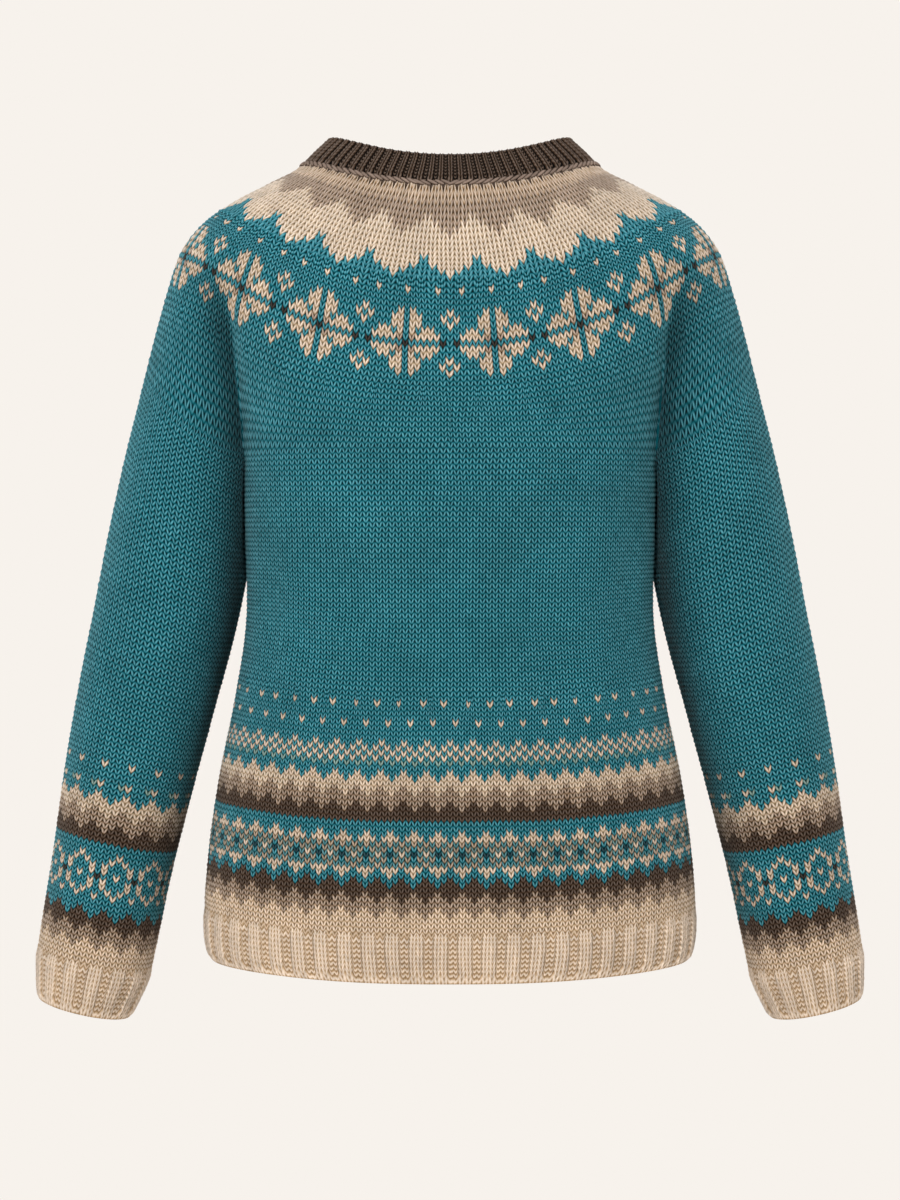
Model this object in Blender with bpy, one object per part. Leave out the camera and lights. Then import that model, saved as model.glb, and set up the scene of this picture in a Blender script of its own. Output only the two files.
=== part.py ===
"""A knitted round-yoke pullover with long sleeves, hollow, in the form it has when it is worn.

Metres, +Z up. The back of the garment faces -Y, the front +Y, and the wearer's left is -X.
The origin is the middle of the neck, at the height where the neckband meets the shoulders.

Three surfaces make the whole garment, and every knitted piece is a stretch of one of them with
a wall under it:
  - the rings: neckband and yoke, from the neck edge down to the underarms;
  - the body tube: body and hem band, one oval section under another;
  - the sleeve tube: sleeve and cuff, ovals along a sloping arm line, pressed flat on the body's
    side at the top, where the two are grafted together.
A place around a loop is a share of it: 0 is the back middle, 0.25 the left side, 0.5 the front
middle and 0.75 the right side. On a sleeve, 0 faces the body, 0.25 is the back, 0.5 the outer
side and 0.75 the front. Rows run downwards.
"""

from collections import namedtuple

import bpy
import numpy as np

GARMENT = "round_yoke_pullover"

# Knitted walls
WALL = 0.003
SEAM_GAP = 0.0003
RIB_RELIEF = 0.0008           # a rib's top stands this far out of the wall, its groove this far in

# Ribs: one hem or cuff rib is two plain stitches and two purled ones, a neck rib one of each
HEM_RIBS = 51
CUFF_RIBS = 15
NECK_RIBS = 76
WIDE_RIB = (-1, 1, 1, -1)
NARROW_RIB = (1, -1)

# Where the pieces part
UNDERARM_DROP = 0.218         # below the origin
HEM_BAND_TOP = 0.567
HEM_EDGE = 0.606
CUFF_TOP = 0.603              # on the sleeve's middle line
CUFF_EDGE = 0.6415
NECK_EDGE_LEVEL = -0.10       # levels of the ring table
NECK_SEAM_LEVEL = 0.0
UNDERARM_LEVEL = 1.0
SHARED_LEVEL = 0.70           # down to here the yoke's rows keep one level all round
SLEEVE_TOP_LEVEL = 0.90       # the yoke ends here on the outer side of a sleeve
ROW_SPREAD = 0.625            # a sleeve's rows are level below this share of its length

# The graft at the underarm, as shares of the body's loop, and the crease above each end of it,
# as shares of a yoke ring
GRAFT_BACK = 0.218
GRAFT_FRONT = 0.302
CREASE_BACK = 0.1425
CREASE_FRONT = 0.3575
SLEEVE_CLEARANCE = 0.0009     # between sleeve and body below the graft
CLEARANCE_RUN = 0.020         # it opens from the seam gap over this drop

# How square a section is: 2 is an ellipse
RING_EXPONENT = 2.2
BODY_EXPONENT = 2.3
SLEEVE_EXPONENT = 2.1
# How late a ring falls from its shoulder point to its lowest point at the back and front
BACK_FALL = 2.6
FRONT_FALL = 2.0

# Faces
BACK_COLUMNS = 12             # back middle to crease, and as many in front
SLEEVE_COLUMNS = 18           # crease to crease round a sleeve
GRAFT_COLUMNS = 6
YOKE_ROWS = (0.0, 0.09, 0.19, 0.30, 0.41, 0.52, 0.62, 0.70, 0.79, 0.89, 1.0)
BODY_ROW_COUNT = 12
SLEEVE_ROW_COUNT = 14
BAND_ROW_COUNT = 2
SHARP_ANGLE = 50              # degrees between faces past which their edge is not smoothed

Ring = namedtuple("Ring", "level half_width side_z back_y back_z front_y front_z crease")
RINGS = (
    Ring(-0.15, 0.0862, 0.0275, 0.0510, 0.0110, 0.0460, -0.0280, 0.00),
    Ring(-0.10, 0.0930, 0.0200, 0.0565, 0.0008, 0.0510, -0.0370, 0.00),
    Ring(-0.05, 0.1018, 0.0118, 0.0630, -0.0092, 0.0580, -0.0458, 0.00),
    Ring(0.00, 0.1118, 0.0020, 0.0690, -0.0200, 0.0650, -0.0560, 0.00),
    Ring(0.15, 0.1370, -0.0125, 0.0810, -0.0450, 0.0775, -0.0800, 0.00),
    Ring(0.30, 0.1638, -0.0265, 0.0900, -0.0710, 0.0865, -0.1050, 0.00),
    Ring(0.42, 0.1835, -0.0395, 0.0955, -0.0930, 0.0925, -0.1260, 0.01),
    Ring(0.52, 0.1950, -0.0510, 0.0988, -0.1130, 0.0960, -0.1440, 0.03),
    Ring(0.60, 0.2030, -0.0620, 0.1005, -0.1300, 0.0980, -0.1580, 0.07),
    Ring(0.68, 0.2090, -0.0760, 0.1015, -0.1460, 0.0992, -0.1700, 0.14),
    Ring(0.76, 0.2155, -0.0970, 0.1020, -0.1630, 0.1000, -0.1825, 0.28),
    Ring(0.84, 0.2238, -0.1260, 0.1020, -0.1800, 0.1003, -0.1945, 0.50),
    Ring(0.92, 0.2345, -0.1680, 0.1013, -0.1990, 0.1003, -0.2065, 0.78),
    Ring(1.00, 0.2472, -0.2180, 0.1000, -0.2180, 0.1000, -0.2180, 1.00),
)

Section = namedtuple("Section", "drop half_width back_depth front_depth")
BODY_SECTIONS = (
    Section(0.218, 0.1580, 0.1000, 0.1000),
    Section(0.283, 0.1555, 0.0965, 0.0960),
    Section(0.344, 0.1549, 0.0920, 0.0905),
    Section(0.404, 0.1638, 0.0890, 0.0885),
    Section(0.465, 0.1760, 0.0880, 0.0885),
    Section(0.526, 0.1842, 0.0872, 0.0880),
    Section(0.567, 0.1864, 0.0868, 0.0870),
    Section(0.588, 0.1850, 0.0864, 0.0864),
    Section(0.598, 0.1826, 0.0858, 0.0858),
    Section(0.606, 0.1785, 0.0845, 0.0845),
    Section(0.620, 0.1690, 0.0815, 0.0815),
)

Station = namedtuple("Station", "drop out forward half_width half_depth tilt")
SLEEVE_STATIONS = (
    Station(0.2180, 0.1934, 0.0080, 0.0540, 0.0600, 0.0),
    Station(0.2500, 0.1993, 0.0100, 0.0550, 0.0600, 3.0),
    Station(0.2830, 0.2057, 0.0120, 0.0555, 0.0592, 6.5),
    Station(0.3440, 0.2180, 0.0150, 0.0552, 0.0572, 11.0),
    Station(0.4050, 0.2326, 0.0180, 0.0532, 0.0546, 13.0),
    Station(0.4670, 0.2465, 0.0205, 0.0503, 0.0516, 12.5),
    Station(0.5290, 0.2590, 0.0230, 0.0468, 0.0486, 11.5),
    Station(0.5910, 0.2709, 0.0255, 0.0452, 0.0460, 11.5),
    Station(0.6060, 0.2738, 0.0260, 0.0446, 0.0455, 12.5),
    Station(0.6415, 0.2818, 0.0280, 0.0374, 0.0395, 13.5),
    Station(0.6600, 0.2860, 0.0285, 0.0350, 0.0370, 14.5),
)

TEAL = (0.035, 0.150, 0.185)
BEIGE = (0.520, 0.400, 0.290)
DARK_BROWN = (0.060, 0.045, 0.036)
WOOL_ROUGHNESS = 0.9

SAMPLES = 240                 # points of a quarter curve before it is divided evenly
PATH_SAMPLES = 90             # points of a sleeve's column before it is divided into rows
LEAD = 0.010                  # how far a path goes on past a seam, to take its direction there


def smooth_curve(x, xs, ys):
    """Read a smooth curve through the table points (xs, ys) at x."""
    xs, ys = np.asarray(xs, float), np.asarray(ys, float)
    step = np.diff(xs)
    slope = np.diff(ys) / step
    tangent = np.concatenate(([slope[0]], np.zeros(len(xs) - 2), [slope[-1]]))
    weight = step[:-1] + step[1:]
    tangent[1:-1] = (slope[:-1] * step[1:] + slope[1:] * step[:-1]) / weight
    k = np.clip(np.searchsorted(xs, x, side="right") - 1, 0, len(step) - 1)
    f = (x - xs[k]) / step[k]
    return (ys[k] * (1 + 2 * f) * (1 - f) ** 2 + ys[k + 1] * f ** 2 * (3 - 2 * f)
            + step[k] * (tangent[k] * f * (1 - f) ** 2 - tangent[k + 1] * f ** 2 * (1 - f)))


def read_table(table, key, x):
    """Every other column of a table at x, read along the column named key, as one row type."""
    xs = [getattr(row, key) for row in table]
    kind = type(table[0])
    values = {name: smooth_curve(x, xs, [getattr(row, name) for row in table])
              for name in kind._fields}
    return kind(**values)


def quarter(across, deep, exponent):
    """One quarter of an oval, evenly divided: from (0, deep) to (across, 0)."""
    angle = np.linspace(0.0, np.pi / 2, SAMPLES)
    x = across * np.sin(angle) ** (2 / exponent)
    y = deep * np.cos(angle) ** (2 / exponent)
    length = np.concatenate(([0.0], np.cumsum(np.hypot(np.diff(x), np.diff(y)))))
    return x, y, length / length[-1]


def oval(across, back, front, exponent, shares):
    """Points of an oval at the given shares, from its back middle round by its left side."""
    shares = np.asarray(shares, float) % 1.0
    fold = np.minimum(shares, 1.0 - shares)
    in_front = fold > 0.25
    along = np.where(in_front, 0.5 - fold, fold) * 4.0
    back_x, back_y, back_share = quarter(across, back, exponent)
    front_x, front_y, front_share = quarter(across, front, exponent)
    x = np.where(in_front, np.interp(along, front_share, front_x), np.interp(along, back_share, back_x))
    y = np.where(in_front, np.interp(along, front_share, front_y), -np.interp(along, back_share, back_y))
    return np.where(shares < 0.5, -x, x), y


def body_loop(drop, shares):
    """The body's outer surface at one height."""
    row = read_table(BODY_SECTIONS, "drop", drop)
    x, y = oval(row.half_width, row.back_depth, row.front_depth, BODY_EXPONENT, shares)
    return np.stack([x, y, np.full_like(x, -drop)], axis=-1)


def body_side(y, drop):
    """Half the body's width at depth y, or nothing where y is past its front or back."""
    row = read_table(BODY_SECTIONS, "drop", np.clip(drop, UNDERARM_DROP, HEM_EDGE))
    depth = np.where(y < 0, row.back_depth, row.front_depth)
    inside = np.clip(1.0 - (np.abs(y) / depth) ** BODY_EXPONENT, 0.0, None)
    return row.half_width * inside ** (1 / BODY_EXPONENT)


def sleeve_loop(drop, shares):
    """The left sleeve's outer surface across its middle line at one drop, flat on the body's side."""
    row = read_table(SLEEVE_STATIONS, "drop", drop)
    depth, width = oval(row.half_depth, row.half_width, row.half_width, SLEEVE_EXPONENT, shares)
    tilt = np.radians(row.tilt)
    x = -row.out - width * np.cos(tilt)
    y = row.forward + depth
    z = -drop + width * np.sin(tilt)
    opening = np.clip((-z - UNDERARM_DROP) / CLEARANCE_RUN, 0.0, 1.0)
    clearance = SEAM_GAP + (SLEEVE_CLEARANCE - SEAM_GAP) * opening
    side = body_side(y, -z)
    x = np.where(side > 0, np.minimum(x, -side - clearance), x)
    return np.stack([x, y, z], axis=-1)


def graft_ends_on_sleeve():
    """The sleeve's shares at the graft's back and front ends, found by their depth."""
    ends = body_loop(UNDERARM_DROP, np.array([GRAFT_BACK, GRAFT_FRONT]))[:, 1]
    back = np.linspace(0.0, 0.25, SAMPLES)
    front = np.linspace(0.75, 1.0, SAMPLES)
    back_y = sleeve_loop(UNDERARM_DROP, back)[:, 1]
    front_y = sleeve_loop(UNDERARM_DROP, front)[:, 1]
    return np.interp(-ends[0], -back_y, back), np.interp(-ends[1], -front_y, front)


SLEEVE_BACK, SLEEVE_FRONT = graft_ends_on_sleeve()


def underarm_outline(shares):
    """The outline at the underarms: the body's back and front, and the sleeves' outer sides."""
    fold = np.minimum(shares, 1.0 - shares)
    back = body_loop(UNDERARM_DROP, fold / CREASE_BACK * GRAFT_BACK)
    to_front = (0.5 - fold) / (0.5 - CREASE_FRONT)
    front = body_loop(UNDERARM_DROP, 0.5 - to_front * (0.5 - GRAFT_FRONT))
    round_sleeve = (fold - CREASE_BACK) / (CREASE_FRONT - CREASE_BACK)
    sleeve = sleeve_loop(UNDERARM_DROP, SLEEVE_BACK + round_sleeve * (SLEEVE_FRONT - SLEEVE_BACK))
    on_sleeve = (fold > CREASE_BACK) & (fold < CREASE_FRONT)
    outline = np.where((fold <= CREASE_BACK)[:, None], back, front)
    outline = np.where(on_sleeve[:, None], sleeve, outline)
    return outline * np.where(shares <= 0.5, 1.0, -1.0)[:, None] ** np.array([1, 0, 0])


def smooth_ring(level, shares):
    """One ring of neckband and yoke with no crease: an oval that falls to its back and front."""
    row = read_table(RINGS, "level", level)
    x, y = oval(row.half_width, row.back_y, row.front_y, RING_EXPONENT, shares)
    back = row.side_z + (row.back_z - row.side_z) * (np.abs(y) / row.back_y) ** BACK_FALL
    front = row.side_z + (row.front_z - row.side_z) * (np.abs(y) / row.front_y) ** FRONT_FALL
    return np.stack([x, y, np.where(y < 0, back, front)], axis=-1)


def ring_rows(levels, shares):
    """Rings of neckband and yoke: the crease pulls each one towards the outline at the underarms."""
    shares = np.asarray(shares, float)
    pull = underarm_outline(shares) - smooth_ring(UNDERARM_LEVEL, shares)
    rows = []
    for level in levels:
        crease = max(float(read_table(RINGS, "level", level).crease), 0.0)
        rows.append(smooth_ring(level, shares) + crease * pull)
    return np.array(rows)


def yoke_end(shares):
    """The level at which the yoke ends: higher on the outer side of each sleeve."""
    fold = np.minimum(shares, 1.0 - shares)
    round_sleeve = np.clip((fold - CREASE_BACK) / (CREASE_FRONT - CREASE_BACK), 0.0, 1.0)
    return UNDERARM_LEVEL - (UNDERARM_LEVEL - SLEEVE_TOP_LEVEL) * np.sin(np.pi * round_sleeve) ** 2


def yoke_rows(rows, shares):
    """The yoke: rows share one level down to SHARED_LEVEL, and spread to its lower end below."""
    shares = np.asarray(shares, float)
    levels = np.linspace(NECK_EDGE_LEVEL, UNDERARM_LEVEL, SAMPLES)
    rings = ring_rows(levels, shares)
    grid = []
    for row in rows:
        spread = max(row - SHARED_LEVEL, 0.0) / (UNDERARM_LEVEL - SHARED_LEVEL)
        at = min(row, SHARED_LEVEL) + spread * (yoke_end(shares) - SHARED_LEVEL)
        place = (at - levels[0]) / (levels[1] - levels[0])
        low = np.clip(place.astype(int), 0, SAMPLES - 2)
        part = (place - low)[:, None]
        column = np.arange(len(shares))
        grid.append(rings[low, column] * (1 - part) + rings[low + 1, column] * part)
    return np.array(grid)


def sleeve_share_on_yoke(shares):
    """The yoke ring's share above a place round the sleeve."""
    round_sleeve = (shares - SLEEVE_BACK) / (SLEEVE_FRONT - SLEEVE_BACK)
    return CREASE_BACK + round_sleeve * (CREASE_FRONT - CREASE_BACK)


def sleeve_path(share):
    """One column of the left sleeve, from LEAD above its top edge to past the cuff's edge."""
    tube = np.array([sleeve_loop(drop, np.array([share]))[0]
                     for drop in np.linspace(UNDERARM_DROP, SLEEVE_STATIONS[-1].drop, PATH_SAMPLES)])
    if SLEEVE_BACK < share < SLEEVE_FRONT:
        on_yoke = np.array([sleeve_share_on_yoke(share)])
        end = yoke_end(on_yoke)[0]
        above = ring_rows(np.linspace(SHARED_LEVEL, UNDERARM_LEVEL, PATH_SAMPLES), on_yoke)[:, 0]
        levels = np.linspace(SHARED_LEVEL, UNDERARM_LEVEL, PATH_SAMPLES)
        path = np.concatenate([above[:-1], tube])
        length = path_length(path)
        start = np.interp(end, levels, length[:PATH_SAMPLES])
    else:
        straight = tube[0] + (tube[0] - tube[1]) / np.linalg.norm(tube[0] - tube[1]) * LEAD
        path = np.concatenate([[straight], tube])
        length = path_length(path)
        start = LEAD
    return path, length - start


def path_length(path):
    """How far along a path each of its points is."""
    return np.concatenate(([0.0], np.cumsum(np.linalg.norm(np.diff(path, axis=0), axis=1))))


def read_path(path, length, at):
    """Points of a path at the given lengths along it."""
    return np.stack([np.interp(at, length, path[:, axis]) for axis in range(3)], axis=-1)


def sleeve_rows(rows, shares):
    """The left sleeve down to the cuff: rows lie level at the cuff and spread evenly at the top."""
    columns = []
    for share in shares:
        path, length = sleeve_path(share)
        cuff = np.interp(CUFF_TOP, np.linspace(UNDERARM_DROP, SLEEVE_STATIONS[-1].drop, PATH_SAMPLES),
                         length[-PATH_SAMPLES:])
        columns.append((path, length, cuff))
    shortest = min(cuff for _, _, cuff in columns)
    rows = np.asarray(rows, float)
    rise = np.clip(1.0 - rows / ROW_SPREAD, 0.0, 1.0)
    spread = rise * rise * (3 - 2 * rise)
    grid = []
    for path, length, cuff in columns:
        from_cuff = (1.0 - rows) * shortest + (cuff - shortest) * spread
        grid.append(read_path(path, length, cuff - from_cuff))
    return np.array(grid).transpose(1, 0, 2)


def normals_of(grid):
    """Outward directions on a closed loop of columns, without the guard rows at its two ends."""
    along = grid[2:] - grid[:-2]
    across = np.roll(grid, -1, axis=1)[1:-1] - np.roll(grid, 1, axis=1)[1:-1]
    normal = np.cross(across, along)
    return normal / np.linalg.norm(normal, axis=-1, keepdims=True)


def trim_rows(grid, at_start, at_end):
    """Draw the first and last row back from their seams, along the columns."""
    grid = grid.copy()
    for row, inner, gap in ((0, 1, at_start), (-1, -2, at_end)):
        run = grid[inner] - grid[row]
        grid[row] += run / np.linalg.norm(run, axis=-1, keepdims=True) * gap
    return grid


def walls(guarded, relief, at_start, at_end):
    """A wall's outer and inner points, from a grid with a guard row at each end."""
    normal = normals_of(guarded)
    base = trim_rows(guarded[1:-1], at_start, at_end)
    return base + normal * relief, base - normal * WALL


def rib_relief(count, pattern):
    """How far each column of a ribbed band stands out of its wall."""
    return (RIB_RELIEF * np.tile(pattern, count).astype(float))[None, :, None]


def solid_faces(rows, columns, closed):
    """The faces of a wall whose points are its outer grid and then its inner grid."""
    index = np.arange(rows * columns).reshape(rows, columns)
    if closed:
        index = np.concatenate([index, index[:, :1]], axis=1)
    inner = index + rows * columns

    def quads(a, b, c, d):
        return np.stack([a.ravel(), b.ravel(), c.ravel(), d.ravel()], axis=-1)

    parts = [
        quads(index[:-1, :-1], index[:-1, 1:], index[1:, 1:], index[1:, :-1]),
        quads(inner[1:, :-1], inner[1:, 1:], inner[:-1, 1:], inner[:-1, :-1]),
        quads(index[0, :-1], inner[0, :-1], inner[0, 1:], index[0, 1:]),
        quads(index[-1, :-1], index[-1, 1:], inner[-1, 1:], inner[-1, :-1]),
    ]
    if not closed:
        parts.append(quads(index[:-1, 0], index[1:, 0], inner[1:, 0], inner[:-1, 0]))
        parts.append(quads(index[1:, -1], index[:-1, -1], inner[:-1, -1], inner[1:, -1]))
    return np.concatenate(parts)


def mirrored(grid):
    """A left-hand grid as its right-hand one, with its columns in the same turning order."""
    return grid[:, ::-1] * np.array([-1.0, 1.0, 1.0])


def add_piece(name, outer, inner, closed, colour, collection, parent):
    """One knitted piece: a closed wall of its own, with its own material."""
    rows, columns, _ = outer.shape
    points = np.concatenate([outer.reshape(-1, 3), inner.reshape(-1, 3)])
    mesh = bpy.data.meshes.new(name)
    mesh.from_pydata(points.tolist(), [], solid_faces(rows, columns, closed).tolist())
    mesh.shade_smooth()
    mesh.set_sharp_from_angle(angle=np.radians(SHARP_ANGLE))
    material = bpy.data.materials.new(name + "_yarn")
    material.use_nodes = True
    shader = material.node_tree.nodes["Principled BSDF"]
    shader.inputs["Base Color"].default_value = (*colour, 1.0)
    shader.inputs["Roughness"].default_value = WOOL_ROUGHNESS
    shader.inputs["Metallic"].default_value = 0.0
    mesh.materials.append(material)
    piece = bpy.data.objects.new(name, mesh)
    piece.parent = parent
    collection.objects.link(piece)


def yoke_shares():
    """Columns of the yoke's ring: creases and sleeve columns where the pieces below have them."""
    back = np.linspace(0.0, CREASE_BACK, BACK_COLUMNS, endpoint=False)
    sleeve = np.linspace(CREASE_BACK, CREASE_FRONT, SLEEVE_COLUMNS, endpoint=False)
    front = np.linspace(CREASE_FRONT, 0.5, BACK_COLUMNS, endpoint=False)
    left = np.concatenate([back, sleeve, front])
    return np.concatenate([left, [0.5], 1.0 - left[:0:-1]])


def body_shares():
    """Columns of the body's loop: the yoke's own in back and front, and the graft's at the sides."""
    back = np.linspace(0.0, GRAFT_BACK, BACK_COLUMNS, endpoint=False)
    graft_back = np.linspace(GRAFT_BACK, 0.25, GRAFT_COLUMNS // 2, endpoint=False)
    graft_front = np.linspace(0.25, GRAFT_FRONT, GRAFT_COLUMNS // 2, endpoint=False)
    front = np.linspace(GRAFT_FRONT, 0.5, BACK_COLUMNS, endpoint=False)
    left = np.concatenate([back, graft_back, graft_front, front])
    return np.concatenate([left, [0.5], 1.0 - left[:0:-1]])


def sleeve_shares():
    """Columns of the sleeve's loop: the graft's, and the yoke's own round the outer side."""
    behind = np.linspace(0.0, SLEEVE_BACK, GRAFT_COLUMNS // 2, endpoint=False)
    outer = np.linspace(SLEEVE_BACK, SLEEVE_FRONT, SLEEVE_COLUMNS, endpoint=False)
    before = np.linspace(SLEEVE_FRONT, 1.0, GRAFT_COLUMNS // 2, endpoint=False)
    return np.concatenate([behind, outer, before])


def add_neckband(collection, parent):
    """The neckband: one narrow rib after another, up from the seam and in round the neck."""
    count = NECK_RIBS * len(NARROW_RIB)
    shares = np.arange(count) / count
    levels = np.linspace(NECK_EDGE_LEVEL, NECK_SEAM_LEVEL, BAND_ROW_COUNT + 1)
    step = levels[1] - levels[0]
    grid = ring_rows(np.concatenate([[levels[0] - step / 2], levels, [step]]), shares)
    outer, inner = walls(grid, rib_relief(NECK_RIBS, NARROW_RIB), 0.0, SEAM_GAP / 2)
    add_piece("neckband", outer, inner, True, DARK_BROWN, collection, parent)


def below_yoke(shares):
    """The row just below the yoke's lower end, on the body and on the sleeves."""
    fold = np.minimum(shares, 1.0 - shares)
    points = []
    for share, folded in zip(shares, fold):
        if CREASE_BACK < folded < CREASE_FRONT:
            turned = (folded - CREASE_BACK) / (CREASE_FRONT - CREASE_BACK)
            path, length = sleeve_path(SLEEVE_BACK + turned * (SLEEVE_FRONT - SLEEVE_BACK))
            point = read_path(path, length, LEAD)
        else:
            to_front = (0.5 - folded) / (0.5 - CREASE_FRONT)
            back, front = folded / CREASE_BACK * GRAFT_BACK, 0.5 - to_front * (0.5 - GRAFT_FRONT)
            place = back if folded <= CREASE_BACK else front
            point = body_loop(UNDERARM_DROP + LEAD, np.array([place]))[0]
        points.append(point * (1.0 if share <= 0.5 else np.array([-1.0, 1.0, 1.0])))
    return np.array(points)


def add_yoke(collection, parent):
    """The round yoke, from the neckband to the underarms, in one piece all round."""
    shares = yoke_shares()
    above = ring_rows([NECK_EDGE_LEVEL / 2], shares)
    grid = np.concatenate([above, yoke_rows(YOKE_ROWS, shares), below_yoke(shares)[None]])
    outer, inner = walls(grid, 0.0, SEAM_GAP / 2, SEAM_GAP / 2)
    add_piece("yoke", outer, inner, True, TEAL, collection, parent)


def above_body(shares, first, second):
    """The row just above the body's top edge: the yoke's, or straight on above the graft."""
    fold = np.minimum(shares, 1.0 - shares)
    on_back, on_front = fold <= GRAFT_BACK, fold >= GRAFT_FRONT
    back = fold / GRAFT_BACK * CREASE_BACK
    front = 0.5 - (0.5 - fold) / (0.5 - GRAFT_FRONT) * (0.5 - CREASE_FRONT)
    ring = np.where(on_back, back, np.where(on_front, front, CREASE_BACK))
    ring = np.where(shares <= 0.5, ring, 1.0 - ring)
    yoke = ring_rows([YOKE_ROWS[-2]], ring)[0]
    return np.where((on_back | on_front)[:, None], yoke, 2 * first - second)


def part_sides(outer, inner, columns):
    """A front or back half of the body's tube, drawn back from its two side seams."""
    halves = []
    for grid in (outer, inner):
        half = grid[:, columns]
        for edge, inside in ((0, 1), (-1, -2)):
            run = half[:, inside] - half[:, edge]
            half[:, edge] += run / np.linalg.norm(run, axis=-1, keepdims=True) * SEAM_GAP / 2
        halves.append(half)
    return halves


def add_body(collection, parent):
    """The body's back and front, which meet at the side seams."""
    shares = body_shares()
    drops = np.linspace(UNDERARM_DROP, HEM_BAND_TOP, BODY_ROW_COUNT + 1)
    loops = np.array([body_loop(drop, shares) for drop in drops])
    below = body_loop(HEM_BAND_TOP + LEAD, shares)
    grid = np.concatenate([above_body(shares, loops[0], loops[1])[None], loops, below[None]])
    outer, inner = walls(grid, 0.0, SEAM_GAP / 2, SEAM_GAP / 2)
    side = BACK_COLUMNS + GRAFT_COLUMNS // 2
    count = len(shares)
    around_back = np.arange(-side, side + 1) % count
    around_front = np.arange(side, count - side + 1)
    for name, columns in (("body_back", around_back), ("body_front", around_front)):
        half_outer, half_inner = part_sides(outer, inner, columns)
        add_piece(name, half_outer, half_inner, False, TEAL, collection, parent)


def add_hem_band(collection, parent):
    """The ribbed band below the body, in one piece all round."""
    count = HEM_RIBS * len(WIDE_RIB)
    shares = np.arange(count) / count
    drops = np.linspace(HEM_BAND_TOP, HEM_EDGE, BAND_ROW_COUNT + 1)
    guards = np.concatenate([[HEM_BAND_TOP - LEAD], drops, [HEM_EDGE + LEAD]])
    grid = np.array([body_loop(drop, shares) for drop in guards])
    outer, inner = walls(grid, rib_relief(HEM_RIBS, WIDE_RIB), SEAM_GAP / 2, 0.0)
    add_piece("hem_band", outer, inner, True, BEIGE, collection, parent)


def add_sleeves(collection, parent):
    """Both sleeves, each a tube from the yoke and the graft down to its cuff."""
    shares = sleeve_shares()
    step = 1.0 / SLEEVE_ROW_COUNT
    rows = np.concatenate([np.linspace(0.0, 1.0, SLEEVE_ROW_COUNT + 1), [1.0 + step / 3]])
    above = np.array([read_path(*sleeve_path(share), -LEAD) for share in shares])
    grid = np.concatenate([above[None], sleeve_rows(rows, shares)])
    outer, inner = walls(grid, 0.0, SEAM_GAP / 2, SEAM_GAP / 2)
    add_piece("sleeve_left", outer, inner, True, TEAL, collection, parent)
    add_piece("sleeve_right", mirrored(outer), mirrored(inner), True, TEAL, collection, parent)


def add_cuffs(collection, parent):
    """Both ribbed cuffs, square across the sleeves' middle lines."""
    count = CUFF_RIBS * len(WIDE_RIB)
    shares = np.arange(count) / count
    drops = np.linspace(CUFF_TOP, CUFF_EDGE, BAND_ROW_COUNT + 1)
    guards = np.concatenate([[CUFF_TOP - LEAD], drops, [CUFF_EDGE + LEAD]])
    grid = np.array([sleeve_loop(drop, shares) for drop in guards])
    outer, inner = walls(grid, rib_relief(CUFF_RIBS, WIDE_RIB), SEAM_GAP / 2, 0.0)
    add_piece("cuff_left", outer, inner, True, BEIGE, collection, parent)
    add_piece("cuff_right", mirrored(outer), mirrored(inner), True, BEIGE, collection, parent)


def main():
    """Clear the scene and build the garment."""
    for old in list(bpy.data.objects):
        bpy.data.objects.remove(old)
    collection = bpy.data.collections.new(GARMENT)
    bpy.context.scene.collection.children.link(collection)
    middle = bpy.data.objects.new("neck_middle", None)
    collection.objects.link(middle)
    add_neckband(collection, middle)
    add_yoke(collection, middle)
    add_body(collection, middle)
    add_hem_band(collection, middle)
    add_sleeves(collection, middle)
    add_cuffs(collection, middle)


main()
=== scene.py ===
"""A knitted round-yoke pullover, stitch by stitch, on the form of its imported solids.

Metres, +Z up. The back of the garment faces -Y and the wearer's left is -X. Each knitted piece
is a stretch of one surface: the rings of neckband and yoke, the tube of the body, or the tube of
a sleeve. A place on a surface is a row coordinate, which runs down the garment, and a share of
the way round: 0 is the back middle, 0.25 the left side, 0.5 the front middle. On a sleeve, 0
faces the body, 0.25 is the back, 0.5 the outer side and 0.75 the front.
"""

import logging
from dataclasses import dataclass, field
from enum import Enum, IntEnum
from typing import NamedTuple

import bpy
import numpy as np
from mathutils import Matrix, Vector
from numpy.typing import NDArray


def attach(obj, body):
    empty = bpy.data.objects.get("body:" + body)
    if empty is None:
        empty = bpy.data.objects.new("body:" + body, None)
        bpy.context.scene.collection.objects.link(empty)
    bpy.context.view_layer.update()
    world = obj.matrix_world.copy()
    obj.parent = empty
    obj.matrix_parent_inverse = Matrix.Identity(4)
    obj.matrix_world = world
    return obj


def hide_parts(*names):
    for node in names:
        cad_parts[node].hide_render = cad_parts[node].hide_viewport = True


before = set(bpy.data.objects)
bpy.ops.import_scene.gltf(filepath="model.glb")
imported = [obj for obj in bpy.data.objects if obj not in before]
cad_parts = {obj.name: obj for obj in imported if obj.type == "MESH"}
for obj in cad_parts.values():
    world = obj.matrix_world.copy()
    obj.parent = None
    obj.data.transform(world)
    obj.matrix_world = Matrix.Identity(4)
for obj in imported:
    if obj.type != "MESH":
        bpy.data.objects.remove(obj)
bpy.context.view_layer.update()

Array = NDArray[np.float64]
log = logging.getLogger("pullover")

BODY = "root"

# Walls and seams
WALL = 0.0030                  # from the knit's base to the plain inside
YARN_RELIEF = 0.00095          # from a stitch's valley to the top of its strand
KNIT_INSET = 0.0011            # the knit's base lies this far inside the surface it follows
RIB_RELIEF = 0.0010            # a rib's plain stitches stand this far out, its purled ones this far in
# A rib's painted shade: its purled wales look deeper and darker, its plain ones lighter
RIB_SHADE = 0.10               # how much of a rib's relief counts as depth in the knit

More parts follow.
